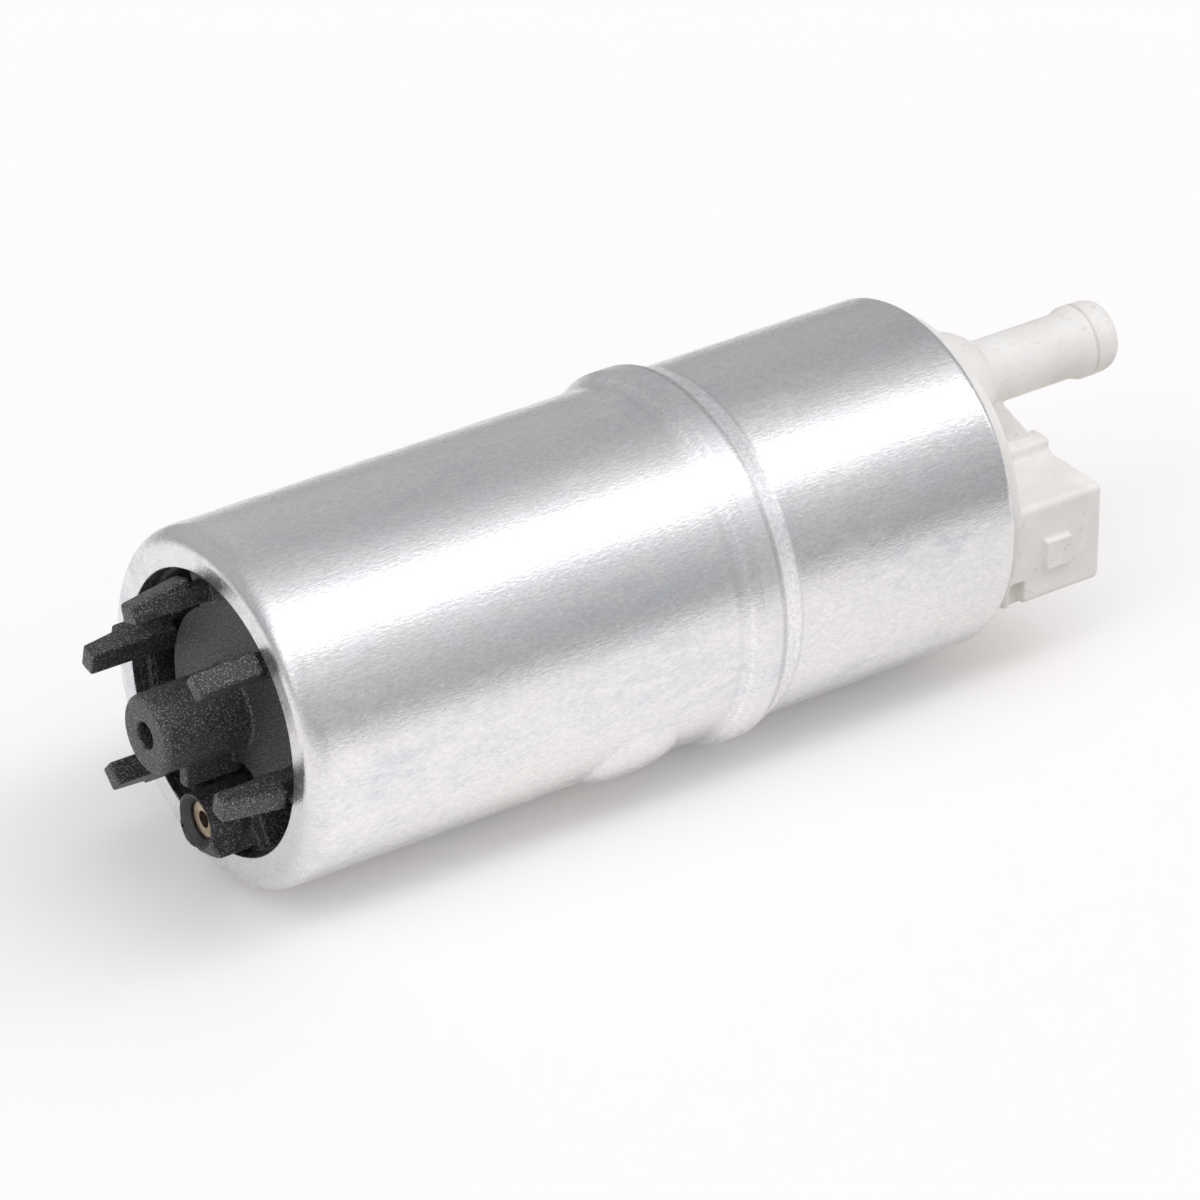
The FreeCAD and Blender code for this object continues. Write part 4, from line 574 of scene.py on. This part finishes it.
# Pressed bronze strip, dulled to tan by fuel, in patches of 1 mm.
bronze = mottled("Bronze strip, pressed and dulled", "#A8947C", "#CDBBA4",
                 grain=1.0, rough=0.38, metallic=1.0, relief=0.05)
retainer = lathe("relief_retainer_washer", [
    (RIM - 1.9, 1.0, 0.08, 2), (RIM - 1.9, 2.3, 0.1, 2), (RIM - 1.25, 2.3, 0.05, 2),
    (RIM - 1.25, 2.88, 0.08, 2), (RIM - 0.5, 2.88, 0.08, 2), (RIM - 0.5, 1.0, 0.08, 2)], *VALVE)
finish_piece(retainer, bronze, "housing", "bronze", "relief_retainer")

# Bearing steel, lapped: a mirror with the faintest haze.
ball_steel = mottled("Bearing steel, lapped", "#C4C5C8", "#D6D7D9", grain=0.4, rough=0.07, metallic=1.0)
dress(ball_steel, "relief_ball")

# Spring steel wire, drawn: grey, with fine lines 0.1 mm apart from the die.
spring_steel = mottled("Spring steel, drawn", "#7F8083", "#A9AAAD",
                       grain=0.1, rough=0.3, metallic=1.0, relief=0.15, stretch=(6, 1, 1))


def spring(node, wire, turns):
    """Coil spring in place of a CAD node, of wire with that radius and with its end turns wound close."""
    low, high = (np.array(corner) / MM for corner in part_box(node))
    middle, coil = (low + high) / 2, (high[1] - low[1]) / 2 - wire
    turn = np.linspace(0, turns, 36 * turns + 1)[:, None]
    x = np.interp(turn, (0, 1, turns - 1, turns),
                  (low[0] + wire, low[0] + 3 * wire, high[0] - 3 * wire, high[0] - wire))
    angle = np.arange(8)[None, :] * -math.pi / 4
    turn, x, angle = np.broadcast_arrays(turn * 2 * math.pi, x, angle)
    normals = np.stack((np.sin(angle), np.cos(angle) * np.cos(turn), np.cos(angle) * np.sin(turn)), axis=-1)
    line = np.stack((x, middle[1] + coil * np.cos(turn), middle[2] + coil * np.sin(turn)), axis=-1)
    rows = len(turn)
    end = np.array(((0, 1, 2, 3), (0, 3, 4, 7), (4, 5, 6, 7)))
    faces = np.concatenate((loop_faces(rows, 8)[:-8], end[:, ::-1], end + 8 * (rows - 1)))
    wound = write_mesh(node + "_wire", (line + wire * normals).reshape(-1, 3), faces, normals.reshape(-1, 3))
    finish_piece(wound, spring_steel, "housing", "spring_steel", node)
    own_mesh(wound)


spring("relief_spring", wire=0.3, turns=6)


# Pump: a sintered ring and two sintered rotors between the inlet cover and the port plate. Two
# ground pins hold the stack in line, and the plate is moulded like the cover.
# Sintered steel, steam treated: dark blue grey with open pores of 0.2 mm.
sintered = mottled("Sintered steel, steam treated", "#3E4146", "#6C6F75",
                   grain=0.2, rough=0.42, metallic=0.9, relief=0.35)
dress(sintered, "pump_ring", "outer_rotor", "inner_rotor")
dress(black_plastic, "port_plate")
# Hardened steel, ground: bright, with grinding lines 0.1 mm apart round the pin.
ground_steel = mottled("Hardened steel, ground", "#A9AAAD", "#CFD0D2",
                       grain=0.1, rough=0.2, metallic=1.0, relief=0.08, stretch=(1, 8, 8))
dress(ground_steel, "dowel_pins")


# Armature: the ground shaft runs in two carbon bushes and carries a bronze washer, the stack of
# sheet steel, two phenolic sleeves and the commutator.
dress(ground_steel, "armature_shaft")
# Carbon graphite, pressed and sized: black with a grey sheen, grain 0.15 mm.
carbon = mottled("Carbon graphite, pressed", "#1F1F21", "#3F3F43", grain=0.15, rough=0.45, relief=0.25)
dress(carbon, "front_bush", "rear_bush")
dress(bronze, "thrust_washer")

# Electrical sheet steel, punched and stacked: the edges of 0.5 mm sheets show as fine lines.
LAMINATION = 0.5 * MM
sheet_steel, tree, surface = new_material("Electrical sheet steel, stacked")
place = add(tree, "TexCoord").outputs["Object"]
along = add(tree, "SeparateXYZ", {0: place}).outputs["X"]
phase = add(tree, "Math", {0: along, 1: 2 * math.pi / LAMINATION}, operation="MULTIPLY")
sheets = add(tree, "Math", {0: phase.outputs[0]}, operation="SINE").outputs[0]
burr = add(tree, "TexNoise", {"Vector": place, "Scale": 1500.0, "Detail": 4.0})
edge = add(tree, "Math", {0: sheets, 1: burr.outputs["Fac"]}, operation="ADD").outputs[0]
tone = add(tree, "ValToRGB", {"Fac": edge}, [(0.0, "#4B4C50"), (0.9, "#8C8D91")])
tree.links.new(tone.outputs[0], surface["Base Color"])
bump = add(tree, "Bump", {"Height": edge, "Strength": 0.4, "Distance": 0.00005})
tree.links.new(bump.outputs[0], surface["Normal"])
surface["Metallic"].default_value = 0.9
surface["Roughness"].default_value = 0.42
dress(sheet_steel, "armature_core")

# Phenolic, moulded: red brown, mottled by its filler in spots of 0.4 mm.
phenolic = mottled("Phenolic, moulded", "#3C1A12", "#5C2C1E", grain=0.4, rough=0.4, relief=0.12)
dress(phenolic, "insulating_sleeves", "commutator_base")
# Commutator copper, faced on a lathe: pink, with turning marks 0.08 mm apart.
turned_copper = mottled("Copper, turned", "#B86E48", "#DB9A72",
                        grain=0.08, rough=0.24, metallic=1.0, relief=0.1, stretch=(1, 5, 5))
dress(turned_copper, "commutator_segments")


# Coils: eight of enamelled wire, each wound round a tooth of the armature in up to four layers.
# A layer starts further out where the slot between the teeth is wide enough to hold it.
CORE_FRONT, CORE_REAR = (corner.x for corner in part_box("armature_core"))
COIL_SIZES = {
    "Teeth": ("Int", 8), "First tooth": ("Float", 0.0), "Tooth width": ("Float", 3.75 * MM),
    "Core length": ("Float", CORE_REAR - CORE_FRONT + 1.4 * MM),
    "Core middle": ("Float", (CORE_FRONT + CORE_REAR) / 2), "Wire": ("Float", 0.66 * MM),
}
COIL_LAYERS = ((6.75, 9), (8.5, 6), (10.3, 4), (12.0, 1))  # radius of the first turn, and turns


def coil_tree(material):
    """Node tree for the coils: loops of wire on radial lines, repeated round the shaft."""
    tree = bpy.data.node_groups.new("Armature coils", "GeometryNodeTree")
    for name, (kind, _) in COIL_SIZES.items():
        tree.interface.new_socket(name, in_out="INPUT", socket_type="NodeSocket" + kind)
    tree.interface.new_socket("Geometry", in_out="OUTPUT", socket_type="NodeSocketGeometry")
    given = tree.nodes.new("NodeGroupInput").outputs
    half = add(tree, "Math", {0: given["Wire"], 1: 0.5}, operation="MULTIPLY").outputs[0]
    section = add(tree, "CurvePrimitiveCircle", {"Resolution": 6, "Radius": half}).outputs["Curve"]
    coil = add(tree, "JoinGeometry")
    for layer, (first, turns) in enumerate(COIL_LAYERS):
        spread = add(tree, "Math", {0: given["Wire"], 1: 1.0 + 2 * layer}, operation="MULTIPLY").outputs[0]
        across = add(tree, "Math", {0: given["Tooth width"], 1: spread}, operation="ADD").outputs[0]
        length = add(tree, "Math", {0: given["Core length"], 1: spread}, operation="ADD").outputs[0]
        loop = add(tree, "CurvePrimitiveQuadrilateral", {"Width": length, "Height": across}).outputs[0]
        bend = add(tree, "Math", {0: across, 1: 0.42}, operation="MULTIPLY").outputs[0]
        loop = add(tree, "FilletCurve", {"Curve": loop, "Count": 5, "Radius": bend}, mode="POLY").outputs[0]
        loop = add(tree, "CurveToMesh", {"Curve": loop, "Profile Curve": section}).outputs[0]
        start = add(tree, "CombineXYZ", {"X": given["Core middle"], "Z": first * MM}).outputs[0]
        pitch = add(tree, "CombineXYZ", {"Z": given["Wire"]}).outputs[0]
        rows = add(tree, "MeshLine", {"Count": turns, "Start Location": start, "Offset": pitch}).outputs[0]
        rows = add(tree, "InstanceOnPoints", {"Points": rows, "Instance": loop}).outputs[0]
        tree.links.new(rows, coil.inputs[0])
    teeth = add(tree, "MeshLine", {"Count": given["Teeth"], "Offset": (0, 0, 0)}).outputs[0]
    share = add(tree, "Math", {0: 2 * math.pi, 1: given["Teeth"]}, operation="DIVIDE").outputs[0]
    turn = add(tree, "Math", {0: add(tree, "InputIndex").outputs[0], 1: share}, operation="MULTIPLY").outputs[0]
    turn = add(tree, "Math", {0: turn, 1: given["First tooth"]}, operation="ADD").outputs[0]
    turn = add(tree, "CombineXYZ", {"X": turn}).outputs[0]
    coils = {"Points": teeth, "Instance": coil.outputs[0], "Rotation": turn}
    coils = add(tree, "InstanceOnPoints", coils).outputs[0]
    coils = add(tree, "RealizeInstances", {"Geometry": coils}).outputs[0]
    coils = add(tree, "SetShadeSmooth", {"Geometry": coils}).outputs[0]
    coils = add(tree, "SetMaterial", {"Geometry": coils, "Material": material}).outputs[0]
    tree.links.new(coils, tree.nodes.new("NodeGroupOutput").inputs[0])
    return tree


# Copper wire under a clear amber enamel: warm, with a glossy coat, tone changing every 2 mm.
wire = mottled("Copper wire, enamelled", "#A8592E", "#C97844", grain=2.0, rough=0.3, metallic=1.0)
enamel = wire.node_tree.nodes["Principled BSDF"].inputs
enamel["Coat Weight"].default_value = 0.6
enamel["Coat Roughness"].default_value = 0.12
# The node tree grows the coils once, and its result is kept as a plain mesh.
grown = bpy.data.objects.new("growing_coils", bpy.data.meshes.new("growing_coils"))
bpy.context.collection.objects.link(grown)
growth = grown.modifiers.new("Coils", "NODES")
growth.node_group = coil_tree(wire)
for socket in growth.node_group.interface.items_tree:
    if socket.in_out == "INPUT":
        growth[socket.identifier] = COIL_SIZES[socket.name][1]
grown.update_tag()
shape = bpy.data.meshes.new_from_object(grown.evaluated_get(bpy.context.evaluated_depsgraph_get()))
bpy.data.objects.remove(grown)
coils = bpy.data.objects.new("armature_coils", shape)
bpy.context.collection.objects.link(coils)
shape.materials.clear()
finish_piece(coils, wire, "armature", "copper", "armature_windings")


# Field: the flux ring is a zinc plated tube inside the can. Two ferrite magnets lie in it, and two
# spring clips press them apart against its wall.
# Zinc plate: dull silver, clouded in patches of 3 mm.
zinc = mottled("Steel tube, zinc plated", "#97989A", "#BDBDB8",
               grain=3.0, rough=0.33, metallic=1.0, relief=0.03)
dress(zinc, "flux_ring")
# Hard ferrite, ground on its arcs: charcoal, matt, grain 0.2 mm.
ferrite = mottled("Hard ferrite, ground", "#2B2B2E", "#454549", grain=0.2, rough=0.6, relief=0.2)
dress(ferrite, "magnet_upper", "magnet_lower")
dress(spring_steel, "magnet_clip_left", "magnet_clip_right")


# Outlet cap: one ivory moulding that closes the rear of the can. It carries the hose nipple, the
# plug socket with its catch, ridge and gusset, and inside it the rear bush and the brush guides.
CAP_FACE = TAIL + 2.05
BRUSHES = (-7.1, 7.1)
NIPPLE = (-2.5, 11.45)
SOCKET_SIDE = -17.5
SOCKET_END = CAP_FACE + 13.65


def nipple_field(p):
    """Signed distance to the hose nipple: foot, cone, neck and barb."""
    profile = ((-1.0, 6.85), (0.0, 6.8), (1.5, 6.55), (2.8, 6.15), (4.0, 5.5), (4.8, 4.85), (5.4, 4.35),
               (6.3, 4.05), (7.25, 4.0), (18.5, 4.0), (19.8, 4.5), (20.65, 4.5), (20.72, 4.42),
               (20.85, 4.42), (20.92, 4.49), (22.8, 4.42), (24.6, 4.15))
    stations = [CAP_FACE + x for x, _ in profile]
    radius = np.interp(p[0], stations, [r for _, r in profile])
    out = np.hypot(p[1] - NIPPLE[0], p[2] - NIPPLE[1])
    ends = abs(p[0] - (stations[0] + stations[-1]) / 2) - (stations[-1] - stations[0]) / 2
    return common(out - radius, ends, 1.6)


def cap_field(p):
    """Signed distance to the outlet cap."""
    out = np.hypot(p[1], p[2])
    # Plug in the can with its skirt, the face, the bush's seat and the two brush guides.
    solid = bar(p, TAIL - 20, TAIL - SHEET, SLIP)
    solid = carve(solid, bar(p, TAIL - 22, TAIL - 14, 16.5))
    solid = merge(solid, bar(p, TAIL - 3, CAP_FACE, 19.4, edge=0.3))
    solid = merge(solid, bar(p, TAIL - 19, TAIL - 13, 5.6))
    for middle in BRUSHES:
        solid = merge(solid, box(p, (TAIL - 22, TAIL - 13), (middle - 3.1, middle + 3.1), (-3.1, 3.1)))
    solid = merge(solid, nipple_field(p), 0.4)
    solid = merge(solid, socket_field(p), 0.6)
    # Hollows of the guides and the bush, the check valve's chamber, the nipple's bore, the seal's groove.
    for middle in BRUSHES:
        solid = carve(solid, box(p, (TAIL - 24, TAIL - 4.5), (middle - 2.08, middle + 2.08), (-2.08, 2.08)))
    solid = carve(solid, bar(p, TAIL - 24, TAIL - 12, 4.0))
    solid = carve(solid, bar(p, TAIL - 13, TAIL - 10.5, 3.0))
    solid = carve(solid, bar(p, TAIL - 15, TAIL + 5.2, 4.0, *NIPPLE))
    solid = carve(solid, bar(p, TAIL + 4, CAP_FACE + 30, 2.75, *NIPPLE), 0.4)
    return carve(solid, np.maximum(abs(p[0] - TAIL + 8.0) - 0.95, 18.7 - out))


def socket_field(p):
    """Signed distance to the plug socket with its neck, ridge, gusset and catch."""
    start = CAP_FACE - 1
    solid = box(p, (start, SOCKET_END), (SOCKET_SIDE, -4.4), (-11.7, 1.2), 0.9)
    solid = merge(solid, box(p, (start, SOCKET_END - 0.2), (-7.5, -4.4), (-1, 2.9), 0.6), 0.8)
    # Gusset under the nipple: its top drops slowly as far as the knee, then steeply to the toe.
    top, drop, foot = NIPPLE[1] - 2.0, 0.6, 3.3
    knee, toe = 7.25, 11.55
    slope = (top - drop - foot) / (toe - knee)
    fall = (p[2] - foot - slope * (CAP_FACE + toe - p[0])) / math.hypot(1, slope)
    lid = np.maximum(p[2] - top + (p[0] - CAP_FACE) * (drop / knee), fall)
    gusset = common(box(p, (start, CAP_FACE + 12), (-6.0, -4.4), (0.5, top + 1), 0.2), lid, 0.4)
    solid = merge(solid, gusset, 0.4)
    # Neck on the cap, the catch with its sloping lead, the notch and the hollow for the plug.
    solid = merge(solid, box(p, (start, CAP_FACE + 3.45), (-15.5, -8.0), (-12.5, 0), 0.3), 0.4)
    lead = (-(p[1] - SOCKET_SIDE + 0.85) * 0.6 - (p[2] + 7.6) * 0.85) / math.hypot(0.6, 0.85)
    height = (SOCKET_SIDE - 0.85, SOCKET_SIDE + 1)
    catch = box(p, (CAP_FACE + 4.9, CAP_FACE + 8.6), height, (-7.6, -3.7), 0.2)
    solid = merge(solid, common(catch, lead - 0.5, 0.2), 0.25)
    notch = box(p, (CAP_FACE, CAP_FACE + 2.2), (SOCKET_SIDE - 2, SOCKET_SIDE + 2.0), (-13, -8.5), 0.2)
    solid = carve(solid, notch, 0.3)
    hollow = box(p, (CAP_FACE + 3.45, SOCKET_END + 2), (SOCKET_SIDE + 1.3, -6.9), (-10.4, -0.1), 0.3)
    return carve(solid, hollow, 0.3)


# Natural acetal, moulded: ivory white and slightly translucent, with a satin skin, faint clouds,
# specks of grime and a darker line round the barb.
ivory_plastic, tree, surface = new_material("Ivory acetal, satin moulded")
place = add(tree, "TexCoord").outputs["Object"]
cloud = add(tree, "TexNoise", {"Vector": place, "Scale": 160.0, "Detail": 4.0})
tone = add(tree, "ValToRGB", {"Fac": cloud.outputs["Fac"]}, [(0.35, "#F1EEE8"), (0.65, "#FBF9F5")]).outputs[0]
dirt = add(tree, "TexNoise", {"Vector": place, "Scale": 850.0, "Detail": 6.0, "Roughness": 0.75})
dirt = add(tree, "MapRange", {"Value": dirt.outputs["Fac"], "From Min": 0.57, "From Max": 0.72, "To Max": 0.5})
tone = add(tree, "Mix", {0: dirt.outputs[0], 6: tone, 7: linear("#C6B8A6")}, data_type="RGBA").outputs[2]
along = add(tree, "SeparateXYZ", {0: place}).outputs["X"]
barb = [(CAP_FACE + x) * MM for x in (20.5, 21.1)]
share = add(tree, "MapRange", {"Value": along, "From Min": barb[0], "From Max": barb[1]})
ring = add(tree, "ValToRGB", {"Fac": share.outputs[0]}, [(0.0, 0.0), (1 / 3, 0.3), (2 / 3, 0.3), (1.0, 0.0)])
tone = add(tree, "Mix", {0: ring.outputs[0], 6: tone, 7: linear("#B59F8C")}, data_type="RGBA").outputs[2]
grain = add(tree, "TexNoise", {"Vector": place, "Scale": 3000.0, "Detail": 2.0})
relief = add(tree, "Bump", {"Height": grain.outputs["Fac"], "Strength": 0.15, "Distance": 0.00005})
tree.links.new(tone, surface["Base Color"])
tree.links.new(relief.outputs[0], surface["Normal"])
surface["Roughness"].default_value = 0.42
surface["IOR"].default_value = 1.48
surface["Subsurface Weight"].default_value = 0.15
surface["Subsurface Radius"].default_value = (0.002, 0.0018, 0.0015)
surface["Subsurface Scale"].default_value = 1.0

along = planes((TAIL - 22.5, TAIL + 0.5, 0.9), (TAIL + 0.5, TAIL + 27.6, 0.3))
across = planes((-20.9, -3.0, 0.3), (-3.0, 20.9, 0.36))
cap = skin("outlet_cap_moulding", cap_field, along, across, planes((-20.9, 20.9, 0.33)))
finish_piece(cap, ivory_plastic, "housing", "ivory_plastic", "outlet_cap")


# Seals: a moulded rubber ring of round section lies in a groove of each cover, squeezed against the
# wall of the can, and keeps the fuel in.
# Fluoro rubber, moulded: black, matt, with a bloom in patches of 1 mm.
rubber = mottled("Fluoro rubber, moulded", "#171718", "#262627", grain=1.0, rough=0.62, relief=0.06)
dress(rubber, "inlet_seal", "outlet_seal")


# Brushes: two carbon blocks slide in square guides of the outlet cap. A spring presses each one on
# the commutator, and a lead of braided copper runs through the spring to the terminal.
dress(carbon, "brush_left", "brush_right")
spring("brush_spring_left", wire=0.25, turns=9)
spring("brush_spring_right", wire=0.25, turns=9)
# Copper braid: orange brown strands 0.12 mm thick.
braid = mottled("Copper braid, bare", "#8F4A2A", "#D08A60",
                grain=0.12, rough=0.35, metallic=1.0, relief=0.5, stretch=(3, 1, 1))
dress(braid, "brush_lead_left", "brush_lead_right")


# Terminals: two blades stamped from tinned brass strip run from the seats of the brush springs
# through the outlet cap, which holds them, into the plug socket.
# Tin plate: silvery and soft, with a faint cloud 2 mm across.
tin = mottled("Brass strip, tin plated", "#B9B7B0", "#D5D3CC",
              grain=2.0, rough=0.24, metallic=1.0, relief=0.03)
dress(tin, "terminal_left", "terminal_right")


# Check valve: a plastic poppet closes on a rubber seat under the nipple. A spring that stands on the
# end of the chamber presses it down.
dress(rubber, "check_seat")
# Acetal, turned: milky, faintly marked every 0.3 mm by the tool.
poppet = mottled("Acetal, turned", "#CFCBC0", "#DEDAD0",
                 grain=0.3, rough=0.38, relief=0.08, stretch=(1, 4, 4))
dress(poppet, "check_poppet")
spring("check_spring", wire=0.28, turns=6)
